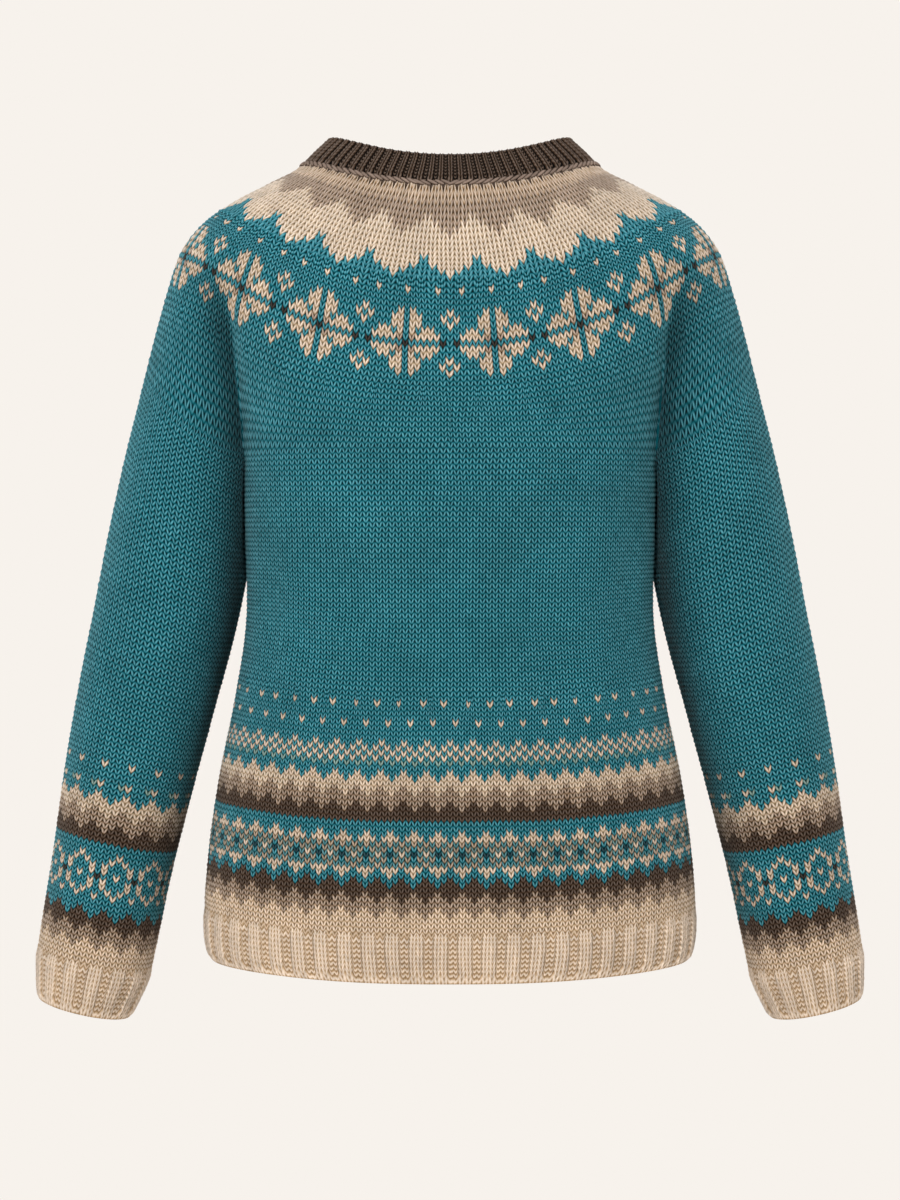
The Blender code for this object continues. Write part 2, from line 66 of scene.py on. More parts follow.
# Where the pieces part, as drops below the origin or as levels of the ring table
UNDERARM_DROP = 0.218
HEM_BAND_TOP = 0.567
HEM_EDGE = 0.606
CUFF_TOP = 0.603
CUFF_EDGE = 0.6415
NECK_EDGE_LEVEL = -0.112
UNDERARM_LEVEL = 1.0
SLEEVE_TOP_LEVEL = 0.90        # the yoke's lower end over the middle of a sleeve
SHARED_LEVEL = 0.70            # the sleeve's surface follows the yoke's from here down
ROW_SPREAD = 0.625             # share of the sleeve over which its slanting rows turn level

# Where body and sleeve are grafted, in shares of the body, and where they part, in shares of a ring
GRAFT_BACK = 0.218
GRAFT_FRONT = 0.302
CREASE_BACK = 0.1425
CREASE_FRONT = 0.3575

# Room between sleeve and body: beside the graft, below it, and how far down it opens
GRAFT_CLEARANCE = 0.0003
SLEEVE_CLEARANCE = 0.0009
CLEARANCE_RUN = 0.020

# How far the dense surfaces reach past their pieces, so that knit at an edge can be read
RING_SPAN = (-0.14, 1.06)      # in levels
SLEEVE_SPAN = (-0.03, 1.03)    # in shares of the sleeve's length
BODY_MARGIN = 0.012
CUFF_MARGIN = 0.010
GRAFT_REACH = 0.02             # how far the sleeve's tube runs straight on above the graft

# How square a section is, and how late a ring falls from its shoulder point
RING_EXPONENT = 2.2
BODY_EXPONENT = 2.3
SLEEVE_EXPONENT = 2.1
BACK_FALL = 2.6
FRONT_FALL = 2.0

# Above the underarm the crease leans towards the sleeve, by these shares of a ring
CREASE_LEAN_LEVELS = (0.70, 0.85, 1.0)
CREASE_LEAN = (0.022, 0.012, 0.0)

# Density of the surfaces that the knit is read from
AROUND = 720
DOWN = 260
QUARTER_POINTS = 240
LEVELS_PER_METRE = 1 / 0.238   # of the ring table, past the underarm
LINES_PER_WALE = 4

# Slow unevenness of the knitting: so many waves, each so many rows or wales long
WAVES = 6
WAVE_LENGTHS = (7.0, 40.0)


class Seed(IntEnum):
    """Where the random draws of each piece start."""

    NECKBAND = 11
    YOKE = 12
    CHAIN = 14
    BODY_BACK = 16
    BODY_FRONT = 17
    HEM = 19
    SLEEVE = 31
    CUFF = 32


class Ring(NamedTuple):
    """One row of the ring table."""

    level: float
    half_width: float
    side_z: float
    back_y: float
    back_z: float
    front_y: float
    front_z: float
    crease: float


class Section(NamedTuple):
    """One row of the body table."""

    drop: float
    half_width: float
    back_depth: float
    front_depth: float


class Station(NamedTuple):
    """One row of the sleeve table."""

    drop: float
    out: float
    forward: float
    half_width: float
    half_depth: float
    tilt: float


RINGS = (
    Ring(-0.15, 0.0862, 0.0275, 0.0510, 0.0110, 0.0460, -0.0280, 0.00),
    Ring(-0.10, 0.0930, 0.0200, 0.0565, 0.0008, 0.0510, -0.0370, 0.00),
    Ring(-0.05, 0.1018, 0.0118, 0.0630, -0.0092, 0.0580, -0.0458, 0.00),
    Ring(0.00, 0.1118, 0.0020, 0.0690, -0.0200, 0.0650, -0.0560, 0.00),
    Ring(0.15, 0.1370, -0.0125, 0.0810, -0.0450, 0.0775, -0.0800, 0.00),
    Ring(0.30, 0.1638, -0.0265, 0.0900, -0.0710, 0.0865, -0.1050, 0.00),
    Ring(0.42, 0.1835, -0.0395, 0.0955, -0.0930, 0.0925, -0.1260, 0.01),
    Ring(0.52, 0.1950, -0.0510, 0.0988, -0.1130, 0.0960, -0.1440, 0.03),
    Ring(0.60, 0.2030, -0.0620, 0.1005, -0.1300, 0.0980, -0.1580, 0.07),
    Ring(0.68, 0.2090, -0.0760, 0.1015, -0.1460, 0.0992, -0.1700, 0.14),
    Ring(0.76, 0.2155, -0.0970, 0.1020, -0.1630, 0.1000, -0.1825, 0.28),
    Ring(0.84, 0.2238, -0.1260, 0.1020, -0.1800, 0.1003, -0.1945, 0.50),
    Ring(0.92, 0.2345, -0.1680, 0.1013, -0.1990, 0.1003, -0.2065, 0.78),
    Ring(1.00, 0.2472, -0.2180, 0.1000, -0.2180, 0.1000, -0.2180, 1.00),
)

BODY_SECTIONS = (
    Section(0.218, 0.1580, 0.1000, 0.1000),
    Section(0.283, 0.1555, 0.0965, 0.0960),
    Section(0.344, 0.1549, 0.0920, 0.0905),
    Section(0.404, 0.1638, 0.0890, 0.0885),
    Section(0.465, 0.1760, 0.0880, 0.0885),
    Section(0.526, 0.1842, 0.0872, 0.0880),
    Section(0.567, 0.1864, 0.0868, 0.0870),
    Section(0.588, 0.1850, 0.0864, 0.0864),
    Section(0.598, 0.1826, 0.0858, 0.0858),
    Section(0.606, 0.1785, 0.0845, 0.0845),
    Section(0.620, 0.1690, 0.0815, 0.0815),
)

SLEEVE_STATIONS = (
    Station(0.2180, 0.1934, 0.0080, 0.0540, 0.0600, 0.0),
    Station(0.2500, 0.1993, 0.0100, 0.0550, 0.0600, 3.0),
    Station(0.2830, 0.2057, 0.0120, 0.0555, 0.0592, 6.5),
    Station(0.3440, 0.2180, 0.0150, 0.0552, 0.0572, 11.0),
    Station(0.4050, 0.2326, 0.0180, 0.0532, 0.0546, 13.0),
    Station(0.4670, 0.2465, 0.0205, 0.0503, 0.0516, 12.5),
    Station(0.5290, 0.2590, 0.0230, 0.0468, 0.0486, 11.5),
    Station(0.5910, 0.2709, 0.0255, 0.0452, 0.0460, 11.5),
    Station(0.6060, 0.2738, 0.0260, 0.0446, 0.0455, 12.5),
    Station(0.6415, 0.2818, 0.0280, 0.0374, 0.0395, 13.5),
    Station(0.6600, 0.2860, 0.0285, 0.0350, 0.0370, 14.5),
)


# ---------------------------------------------------------------- surfaces

def smooth_curve(x: Array, xs: Array, ys: Array) -> Array:
    """Read a smooth curve through table points: a cubic between each two, with weighted slopes.

    Args:
        x: Where to read it.
        xs: The table's places, rising.
        ys: The table's values there.

    Returns:
        The curve's values at x.
    """
    xs, ys = np.asarray(xs, float), np.asarray(ys, float)
    step = np.diff(xs)
    slope = np.diff(ys) / step
    tangent = np.concatenate(([slope[0]], np.zeros(len(xs) - 2), [slope[-1]]))
    weight = step[:-1] + step[1:]
    tangent[1:-1] = (slope[:-1] * step[1:] + slope[1:] * step[:-1]) / weight
    k = np.clip(np.searchsorted(xs, x, side="right") - 1, 0, len(step) - 1)
    f = (x - xs[k]) / step[k]
    return (ys[k] * (1 + 2 * f) * (1 - f) ** 2 + ys[k + 1] * f ** 2 * (3 - 2 * f)
            + step[k] * (tangent[k] * f * (1 - f) ** 2 - tangent[k + 1] * f ** 2 * (1 - f)))


def read_table(table: tuple, key: str, x: float) -> NamedTuple:
    """Every column of a table at x, read along the column named key."""
    xs = [getattr(row, key) for row in table]
    kind = type(table[0])
    values = {name: smooth_curve(x, xs, [getattr(row, name) for row in table])
              for name in kind._fields}
    return kind(**values)


def smooth_step(x: Array) -> Array:
    """A smooth rise from 0 to 1 between 0 and 1: three squares less two cubes."""
    t = np.clip(x, 0.0, 1.0)
    return t * t * (3 - 2 * t)


def folded(places: Array, total: float = 1.0) -> tuple[Array, Array]:
    """Places round a closed line, within one turn and folded over at its middle."""
    turned = np.asarray(places, float) % total
    return turned, np.minimum(turned, total - turned)


def quarter(across: float, deep: float, exponent: float) -> tuple[Array, Array, Array]:
    """One quarter of an oval, from (0, deep) to (across, 0).

    Args:
        across: Half the oval's width.
        deep: Half its depth.
        exponent: How square it is; 2 is an ellipse.

    Returns:
        x, y and the share of the quarter's length, at evenly turned angles.
    """
    angle = np.linspace(0.0, np.pi / 2, QUARTER_POINTS)
    x = across * np.sin(angle) ** (2 / exponent)
    y = deep * np.cos(angle) ** (2 / exponent)
    length = np.concatenate(([0.0], np.cumsum(np.hypot(np.diff(x), np.diff(y)))))
    return x, y, length / length[-1]


def oval(across: float, back: float, front: float, exponent: float, shares: Array) -> tuple[Array, Array]:
    """Points of an oval at the given shares of its length, from its back middle round by the left.

    Args:
        across: Half its width.
        back: Its depth behind the widest place.
        front: Its depth before it.
        exponent: How square it is.
        shares: Where to put the points.

    Returns:
        x and y of the points.
    """
    shares, fold = folded(shares)
    in_front = fold > 0.25
    along = np.where(in_front, 0.5 - fold, fold) * 4.0
    back_x, back_y, back_share = quarter(across, back, exponent)
    front_x, front_y, front_share = quarter(across, front, exponent)
    x = np.where(in_front, np.interp(along, front_share, front_x), np.interp(along, back_share, back_x))
    y = np.where(in_front, np.interp(along, front_share, front_y), -np.interp(along, back_share, back_y))
    return np.where(shares < 0.5, -x, x), y


def body_loop(drop: float, shares: Array) -> Array:
    """The body's outer surface at one height."""
    row = read_table(BODY_SECTIONS, "drop", drop)
    x, y = oval(row.half_width, row.back_depth, row.front_depth, BODY_EXPONENT, shares)
    return np.stack([x, y, np.full_like(x, -drop)], axis=-1)


def body_side(y: Array, drop: Array) -> Array:
    """Half the body's width at depth y, or nothing where y is past its front or back."""
    row = read_table(BODY_SECTIONS, "drop", np.clip(drop, UNDERARM_DROP, HEM_EDGE))
    depth = np.where(y < 0, row.back_depth, row.front_depth)
    inside = np.clip(1.0 - (np.abs(y) / depth) ** BODY_EXPONENT, 0.0, None)
    return row.half_width * inside ** (1 / BODY_EXPONENT)


def sleeve_loop(drop: float, shares: Array) -> Array:
    """The left sleeve's outer surface across its middle line, pressed flat on the body's side.

    Args:
        drop: How far below the origin the middle line is there.
        shares: Shares of the way round.

    Returns:
        Points of a tilted oval, moved out to the body's side where they would be inside it.
    """
    row = read_table(SLEEVE_STATIONS, "drop", drop)
    depth, width = oval(row.half_depth, row.half_width, row.half_width, SLEEVE_EXPONENT, shares)
    tilt = np.radians(row.tilt)
    x = -row.out - width * np.cos(tilt)
    y = row.forward + depth
    z = -drop + width * np.sin(tilt)
    opening = np.clip((-z - UNDERARM_DROP) / CLEARANCE_RUN, 0.0, 1.0)
    clearance = GRAFT_CLEARANCE + (SLEEVE_CLEARANCE - GRAFT_CLEARANCE) * opening
    side = body_side(y, -z)
    x = np.where(side > 0, np.minimum(x, -side - clearance), x)
    return np.stack([x, y, z], axis=-1)


def graft_ends_on_sleeve() -> tuple[float, float]:
    """The sleeve's shares at the graft's back and front ends, found by their depth."""
    ends = body_loop(UNDERARM_DROP, np.array([GRAFT_BACK, GRAFT_FRONT]))[:, 1]
    back = np.linspace(0.0, 0.25, QUARTER_POINTS)
    front = np.linspace(0.75, 1.0, QUARTER_POINTS)
    back_y = sleeve_loop(UNDERARM_DROP, back)[:, 1]
    front_y = sleeve_loop(UNDERARM_DROP, front)[:, 1]
    return float(np.interp(-ends[0], -back_y, back)), float(np.interp(-ends[1], -front_y, front))


SLEEVE_BACK, SLEEVE_FRONT = graft_ends_on_sleeve()


def underarm_outline(shares: Array, drop: float = UNDERARM_DROP) -> Array:
    """The outline at the underarms or just below: body in back and front, sleeves at the sides.

    Args:
        shares: Shares of a ring, where the creases have their fixed places.
        drop: How far below the origin.

    Returns:
        The outline's points, worked out for the left side and turned over for the right.
    """
    shares, fold = folded(shares)
    back = body_loop(drop, fold / CREASE_BACK * GRAFT_BACK)
    to_front = (0.5 - fold) / (0.5 - CREASE_FRONT)
    front = body_loop(drop, 0.5 - to_front * (0.5 - GRAFT_FRONT))
    round_sleeve = (fold - CREASE_BACK) / (CREASE_FRONT - CREASE_BACK)
    sleeve = sleeve_loop(drop, SLEEVE_BACK + round_sleeve * (SLEEVE_FRONT - SLEEVE_BACK))
    on_sleeve = (fold > CREASE_BACK) & (fold < CREASE_FRONT)
    outline = np.where((fold <= CREASE_BACK)[:, None], back, front)
    outline = np.where(on_sleeve[:, None], sleeve, outline)
    return outline * np.where(shares <= 0.5, 1.0, -1.0)[:, None] ** np.array([1, 0, 0])


def smooth_ring(level: float, shares: Array) -> Array:
    """One ring of neckband and yoke with no crease: an oval that falls to its back and front."""
    row = read_table(RINGS, "level", level)
    x, y = oval(row.half_width, row.back_y, row.front_y, RING_EXPONENT, shares)
    back = row.side_z + (row.back_z - row.side_z) * (np.abs(y) / row.back_y) ** BACK_FALL
    front = row.side_z + (row.front_z - row.side_z) * (np.abs(y) / row.front_y) ** FRONT_FALL
    return np.stack([x, y, np.where(y < 0, back, front)], axis=-1)


def ring_rows(levels: Array, shares: Array) -> Array:
    """Rings of neckband and yoke, each pulled by its crease towards the outline at the underarms.

    Args:
        levels: Levels of the ring table.
        shares: Shares of a ring.

    Returns:
        Points, levels by shares: the smooth ring, plus its crease times the pull at the underarms.
    """
    shares = np.asarray(shares, float)
    rows = []
    for level in levels:
        crease = max(float(read_table(RINGS, "level", level).crease), 0.0)
        lean = float(np.interp(level, CREASE_LEAN_LEVELS, CREASE_LEAN))
        source = shares - lean * np.sin(4 * np.pi * shares)
        pull = underarm_outline(source) - smooth_ring(UNDERARM_LEVEL, source)
        rows.append(smooth_ring(level, shares) + crease * pull)
    return np.array(rows)


def yoke_end(shares: Array) -> Array:
    """The level at which the yoke ends: higher on the outer side of each sleeve."""
    shares, fold = folded(shares)
    round_sleeve = np.clip((fold - CREASE_BACK) / (CREASE_FRONT - CREASE_BACK), 0.0, 1.0)
    return UNDERARM_LEVEL - (UNDERARM_LEVEL - SLEEVE_TOP_LEVEL) * np.sin(np.pi * round_sleeve) ** 2


def path_lengths(path: Array) -> Array:
    """How far along its column each point of a grid of columns is."""
    run = np.linalg.norm(np.diff(path, axis=0), axis=-1)
    return np.concatenate([np.zeros((1, path.shape[1])), np.cumsum(run, axis=0)])


class FoldPoint(NamedTuple):
    """A place on a fold's line: its row, its share, and how strong the fold is there, 0 to 1."""

    row: float
    share: float
    strength: float


@dataclass(frozen=True)
class Fold:
    """A soft trough along a line down a surface, or a ridge where its depth is negative; its shade is painted
    along its bottom.
    """

    line: tuple[FoldPoint, ...]
    depth: float
    before: float              # half its width on the side of lower shares, in metres
    after: float               # the same on the side of higher shares
    # The shade is painted shade: the dye along the fold's bottom is made this much darker.
    shade: float = 0.0         # how much darker its bottom looks

    def turned(self, start: float, sign: float) -> "Fold":
        """The same fold at start plus or less its shares, as on another side of the garment."""
        line = tuple(FoldPoint(p.row, start + sign * p.share, p.strength) for p in self.line)
        widths = (self.before, self.after) if sign > 0 else (self.after, self.before)
        return Fold(line, self.depth, *widths, self.shade)

    def strength(self, rows: Array, shares: Array, around: Array) -> Array:
        """How strong the fold is at each place: a bell across its line.

        Args:
            rows: Row coordinates, a column of them.
            shares: Shares, a row of them.
            around: The surface's length round at each row.

        Returns:
            Strengths from 0 to 1, rows by shares.
        """
        at = [p.row for p in self.line]
        centre = np.interp(rows, at, [p.share for p in self.line])
        along = np.interp(rows, at, [p.strength for p in self.line])
        away = ((shares - centre + 0.5) % 1.0 - 0.5) * around
        bell = np.exp(-(away / np.where(away < 0, self.before, self.after)) ** 2)
        return bell * smooth_step(along)


@dataclass
class Cloth:
    """A surface closed round its columns, read between the points of a dense table.

    The table's rows are evenly spaced from first to last in the surface's row coordinate.
    """

    points: Array
    first: float
    last: float
    folds: tuple[Fold, ...] = ()
    normals: Array = field(init=False)
    shade: Array = field(init=False)

    def __post_init__(self) -> None:
        """Lay the folds and their painted shade, and work out the outward direction at each point."""
        height, count = self.points.shape[:2]
        rows = np.linspace(self.first, self.last, height)[:, None]
        shares = (np.arange(count) / count)[None, :]
        around = np.linalg.norm(np.roll(self.points, -1, axis=1) - self.points, axis=-1).sum(1)
        self._find_normals()
        self.shade = np.zeros((height, count, 1))
        moved = np.zeros((height, count, 1))
        for fold in self.folds:
            strength = fold.strength(rows, shares, around[:, None])[..., None]
            moved += fold.depth * strength
            self.shade = np.maximum(self.shade, fold.shade * strength)
        self.points = self.points - self.normals * moved
        self._find_normals()

    def _find_normals(self) -> None:
        """The outward direction at each point: across the columns times down the rows."""
        down = np.gradient(self.points, axis=0)
        across = np.roll(self.points, -1, axis=1) - np.roll(self.points, 1, axis=1)
        normal = np.cross(across, down)
        self.normals = normal / np.linalg.norm(normal, axis=-1, keepdims=True)

    def read(self, rows: Array, shares: Array, inset: float = KNIT_INSET) -> tuple[Array, Array, Array]:
        """The surface's points, outward directions and the painted shade of its folds.

        Args:
            rows: Row coordinates.
            shares: Shares of the way round, of the same shape; they wrap.
            inset: How far inside the surface the points lie.

        Returns:
            Points and unit directions, each with a last axis of three, and painted shades.
        """
        rows, shares = np.broadcast_arrays(np.asarray(rows, float), np.asarray(shares, float))
        height, count = self.points.shape[:2]
        row = np.clip((rows - self.first) / (self.last - self.first) * (height - 1), 0, height - 1.001)
        i = row.astype(int)
        f = (row - i)[..., None]
        column = (shares % 1.0) * count
        j = np.floor(column).astype(int)
        g = (column - j)[..., None]
        j %= count
        k = (j + 1) % count

        def mix(table: Array) -> Array:
            """The table's values there, straight between its four nearest points."""
            upper = table[i, j] * (1 - g) + table[i, k] * g
            lower = table[i + 1, j] * (1 - g) + table[i + 1, k] * g
            return upper * (1 - f) + lower * f

        normal = mix(self.normals)
        normal /= np.linalg.norm(normal, axis=-1, keepdims=True)
        return mix(self.points) - normal * inset, normal, mix(self.shade)[..., 0]


class GarmentForm:
    """The surfaces of the whole garment, worked out once from its tables."""

    def __init__(self) -> None:
        """Make the four dense tables."""
        self.shares = np.arange(AROUND) / AROUND
        self.rings = self._rings()
        self.body = self._body()
        self.sleeve = self._sleeve()
        self.cuff = self._cuff()

    def _rings(self) -> Cloth:
        """Neckband and yoke, in levels, and a little of what hangs below the underarms."""
        levels = np.linspace(*RING_SPAN, DOWN)
        above = ring_rows(levels[levels <= UNDERARM_LEVEL], self.shares)
        drops = UNDERARM_DROP + (levels[levels > UNDERARM_LEVEL] - UNDERARM_LEVEL) / LEVELS_PER_METRE
        below = np.array([underarm_outline(self.shares, drop) for drop in drops])
        return Cloth(np.concatenate([above, below]), *RING_SPAN, YOKE_FOLDS)

    def _body(self) -> Cloth:
        """Body and hem band, in drops. Above the underarms it goes on up the yoke or the graft."""
        first, last = UNDERARM_DROP - BODY_MARGIN, HEM_EDGE + BODY_MARGIN
        drops = np.linspace(first, last, DOWN)
        fold = folded(self.shares)[1]
        back = fold / GRAFT_BACK * CREASE_BACK
        front = 0.5 - (0.5 - fold) / (0.5 - GRAFT_FRONT) * (0.5 - CREASE_FRONT)
        ring = np.where(fold <= GRAFT_BACK, back, front)
        ring = np.where(self.shares <= 0.5, ring, 1.0 - ring)
        grafted = (fold > GRAFT_BACK) & (fold < GRAFT_FRONT)
        top = body_loop(UNDERARM_DROP, self.shares)
        rows = []
        for drop in drops:
            if drop >= UNDERARM_DROP:
                rows.append(body_loop(drop, self.shares))
                continue
            level = UNDERARM_LEVEL + (drop - UNDERARM_DROP) * LEVELS_PER_METRE
            yoke = self.rings.read(np.full(AROUND, level), ring, inset=0.0)[0]
            straight = top + np.array([0.0, 0.0, UNDERARM_DROP - drop])
            rows.append(np.where(grafted[:, None], straight, yoke))
        return Cloth(np.array(rows), first, last, BODY_FOLDS)

    def _sleeve(self) -> Cloth:
        """The left sleeve, in shares of its length: level at the cuff, spread evenly at the top."""
        reach = SLEEVE_STATIONS[-1].drop
        drops = np.linspace(UNDERARM_DROP, reach, DOWN)
        tube = np.array([sleeve_loop(drop, self.shares) for drop in drops])
        outer = (self.shares > SLEEVE_BACK) & (self.shares < SLEEVE_FRONT)
        turned = (self.shares - SLEEVE_BACK) / (SLEEVE_FRONT - SLEEVE_BACK)
        on_yoke = CREASE_BACK + np.clip(turned, 0.0, 1.0) * (CREASE_FRONT - CREASE_BACK)
        levels = np.linspace(SHARED_LEVEL, UNDERARM_LEVEL, DOWN // 2)
        above = self.rings.read(levels[:, None], on_yoke[None, :], inset=0.0)[0]
        up = tube[0] - tube[1]
        up /= np.linalg.norm(up, axis=-1, keepdims=True)
        lead = np.linspace(GRAFT_REACH, 0.0, len(levels))[:, None, None]
        above = np.where(outer[None, :, None], above, tube[0] + up * lead)
        path = np.concatenate([above[:-1], tube])
        length = path_lengths(path)
        last = len(levels) - 1
        end = (yoke_end(on_yoke) - SHARED_LEVEL) / (UNDERARM_LEVEL - SHARED_LEVEL) * last
        low = np.clip(end.astype(int), 0, last - 1)
        column = np.arange(AROUND)
        start = length[low, column] * (1 - (end - low)) + length[low + 1, column] * (end - low)
        start = np.where(outer, start, length[last])
        at = (CUFF_TOP - UNDERARM_DROP) / (reach - UNDERARM_DROP) * (DOWN - 1) + last
        cuff = length[int(at)] * (1 - at % 1) + length[int(at) + 1] * (at % 1) - start
        rows = np.linspace(*SLEEVE_SPAN, DOWN)[:, None]
        spread = smooth_step(1.0 - rows / ROW_SPREAD)
        places = cuff - ((1.0 - rows) * cuff.min() + (cuff - cuff.min()) * spread) + start
        points = np.empty((DOWN, AROUND, 3))
        for c in range(AROUND):
            for axis in range(3):
                points[:, c, axis] = np.interp(places[:, c], length[:, c], path[:, c, axis])
        return Cloth(points, *SLEEVE_SPAN, SLEEVE_FOLDS)

    def _cuff(self) -> Cloth:
        """The left cuff, in drops along the sleeve's middle line."""
        first, last = CUFF_TOP - CUFF_MARGIN, CUFF_EDGE + CUFF_MARGIN
        drops = np.linspace(first, last, DOWN // 4)
        return Cloth(np.array([sleeve_loop(drop, self.shares) for drop in drops]), first, last)


# ---------------------------------------------------------------- folds

def all_four(fold: Fold) -> tuple[Fold, ...]:
    """A fold of the back's left side on the back's right side and on both sides of the front."""
    return (fold, fold.turned(1.0, -1.0), fold.turned(0.5, -1.0), fold.turned(0.5, 1.0))


def drag_line(rows: tuple[float, ...], shares: tuple[float, ...], most: float, depth: float,
              before: float, after: float) -> Fold:
    """A shallow fold through three places, strongest at the middle one and nothing at its ends."""
    line = tuple(FoldPoint(*point) for point in zip(rows, shares, (0.0, most, 0.0)))
    return Fold(line, depth, before, after)


# The deep crease where the sleeve leaves the body, darkened with painted shade, and the soft ridge on the
# body beside it
YOKE_FOLDS = all_four(Fold(
    (FoldPoint(0.60, 0.182, 0.0), FoldPoint(0.68, 0.176, 0.45), FoldPoint(0.78, 0.166, 0.85),
     FoldPoint(0.90, 0.156, 1.0), FoldPoint(1.00, 0.150, 1.0), FoldPoint(1.06, 0.150, 1.0)),
    depth=0.0012, before=0.006, after=0.025, shade=0.72,
)) + all_four(Fold(
    (FoldPoint(0.64, 0.160, 0.0), FoldPoint(0.74, 0.152, 0.9), FoldPoint(0.86, 0.141, 0.7),
     FoldPoint(0.98, 0.130, 0.0)),
    depth=-0.0012, before=0.012, after=0.009,
))

# Shallow drag lines that run a little aslant across the back and front
BODY_FOLDS = (
    drag_line((0.25, 0.31, 0.40), (0.060, 0.075, 0.083), 0.8, 0.0018, 0.016, 0.020),
    drag_line((0.27, 0.34, 0.45), (0.925, 0.915, 0.905), 0.9, 0.0020, 0.020, 0.015),
    drag_line((0.24, 0.33, 0.46), (0.170, 0.178, 0.170), 1.0, 0.0022, 0.016, 0.018),
    drag_line((0.23, 0.31, 0.43), (0.830, 0.822, 0.832), 1.0, 0.0024, 0.018, 0.016),
    drag_line((0.25, 0.33, 0.43), (0.430, 0.420, 0.412), 0.8, 0.0018, 0.017, 0.019),
    drag_line((0.26, 0.35, 0.47), (0.575, 0.584, 0.592), 0.9, 0.0020, 0.019, 0.015),
    drag_line((0.24, 0.32, 0.45), (0.330, 0.322, 0.332), 1.0, 0.0022, 0.016, 0.018),
    drag_line((0.24, 0.34, 0.44), (0.672, 0.680, 0.670), 1.0, 0.0024, 0.018, 0.017),
)

# The crease goes on down the inner side of the sleeve, behind and in front, with painted shade on that side,
# beside three drag lines
SLEEVE_FOLDS = tuple(
    Fold(tuple(FoldPoint(row, abs(start - share), strength) for row, share, strength in (
        (-0.03, 0.118, 1.0), (0.12, 0.095, 1.0), (0.28, 0.060, 0.90), (0.46, 0.036, 0.75),
        (0.70, 0.020, 0.55), (1.02, 0.010, 0.30))),
         depth=0.0006, before=before, after=after, shade=0.72)
    for start, before, after in ((0.0, 0.020, 0.030), (1.0, 0.030, 0.020))
) + (
    drag_line((0.30, 0.42, 0.56), (0.36, 0.33, 0.34), 0.9, 0.0016, 0.012, 0.014),
    drag_line((0.34, 0.47, 0.62), (0.66, 0.68, 0.66), 0.9, 0.0018, 0.014, 0.012),
    drag_line((0.52, 0.60, 0.72), (0.27, 0.25, 0.26), 0.8, 0.0014, 0.011, 0.011),
)


# ---------------------------------------------------------------- colours and charts

def from_srgb(red: int, green: int, blue: int) -> tuple[float, float, float]:
    """A colour as Blender's linear values: the standard screen curve, undone."""
    parts = np.array([red, green, blue]) / 255.0
    linear = np.where(parts <= 0.04045, parts / 12.92, ((parts + 0.055) / 1.055) ** 2.4)
    return tuple(float(v) for v in linear)


class Shade(Enum):
    """The dyed wools, each with its letter in the charts and its colour."""

    TEAL = ("e", from_srgb(79, 153, 167))
    MUTED_TEAL = ("m", from_srgb(100, 150, 157))
    DEEP_TEAL = ("f", from_srgb(46, 76, 84))
    CREAM = ("c", from_srgb(229, 212, 194))
    FAINT_CREAM = ("v", from_srgb(152, 176, 168))
    BEIGE = ("b", from_srgb(238, 218, 198))
    TAN = ("n", from_srgb(196, 177, 158))
    PALE_TAUPE = ("p", from_srgb(214, 193, 173))
    TAUPE = ("t", from_srgb(186, 167, 151))
    DARK = ("d", from_srgb(102, 87, 77))
    BLACK_BROWN = ("k", from_srgb(62, 58, 54))
    GREY_TEAL = ("s", from_srgb(120, 148, 148))
    MUTED_TAN = ("g", from_srgb(176, 164, 148))


PAPER = from_srgb(247, 242, 236)

LETTERS = {shade.value[0]: number for number, shade in enumerate(Shade)}
DYES = np.array([shade.value[1] for shade in Shade])


@dataclass(frozen=True)
class Chart:
    """Rows of a repeat, one letter a stitch, from the first row knitted on the page downwards.

    The repeat's first column falls on wale number start, counted from the back middle.
    """

    rows: tuple[str, ...]
    start: int = 0

    def shades(self, wales: Array) -> Array:
        """Shade numbers of a band, a row of them for each row of the chart."""
        grids = [np.array([LETTERS[letter] for letter in row])[(wales - self.start) % len(row)]
                 for row in self.rows]
        return np.array(grids)


def plain(count: int, letter: str = "e") -> tuple[str, ...]:
    """Rows of one colour."""
    return (letter,) * count


NECK_CHART = ("pdpdpd",) + plain(2, "p") + plain(2, "t") + (
    "tttctt",
    "ttccct",
    "tccccc",
) + plain(4, "c") + (
    "cccecc",
    "cccecc",
    "cceeec",
    "ceeeee",
)

STAR_HALF = (
    "ceeeeececeeeee",
    "eceeeccecceeec",
    "ceeeeccecceeee",
    "eeeccecececcee",
    "eecccctetcccce",
)
STAR_CHART = plain(2) + ("eeceeeeceeeece",) + plain(3) + STAR_HALF + ("ekeeeeekeeeeek",) \
    + STAR_HALF[::-1] + plain(2)

# From the rib upwards; the charts themselves run down the garment, so these are turned round
FOOT_ROWS = plain(3, "b") + ("tbbb", "ttbt", "tttt", "dttt", "ddtd", "dddd", "dded", "deee")
TOP_ROWS = ("ddtd", "dttt", "tttt", "ttct", "tccc", "cccc", "ccec", "ceee")
BODY_BANDS = FOOT_ROWS + (
    "eece", "eccc", "nmmm", "mgeg", "cmfm", "sgeg", "nmnm", "eccc", "eece",
) + plain(2) + plain(2, "d") + TOP_ROWS + plain(1) + (
    "veve", "ecec", "cece", "ecec", "ceee",
) + plain(3) + ("eeec",) + plain(3) + ("ecee",) + plain(2)
RING_ROWS = ("ceecee", "eceeec", "eecece", "eecece", "ceekee", "eecece", "eecece", "eceeec", "ceeeee")
SLEEVE_UPPER_BANDS = plain(2) + plain(2, "d") + TOP_ROWS + plain(1) + ("cvee",) + plain(3) + ("ceee",) \
    + plain(1)


# ---------------------------------------------------------------- stitches

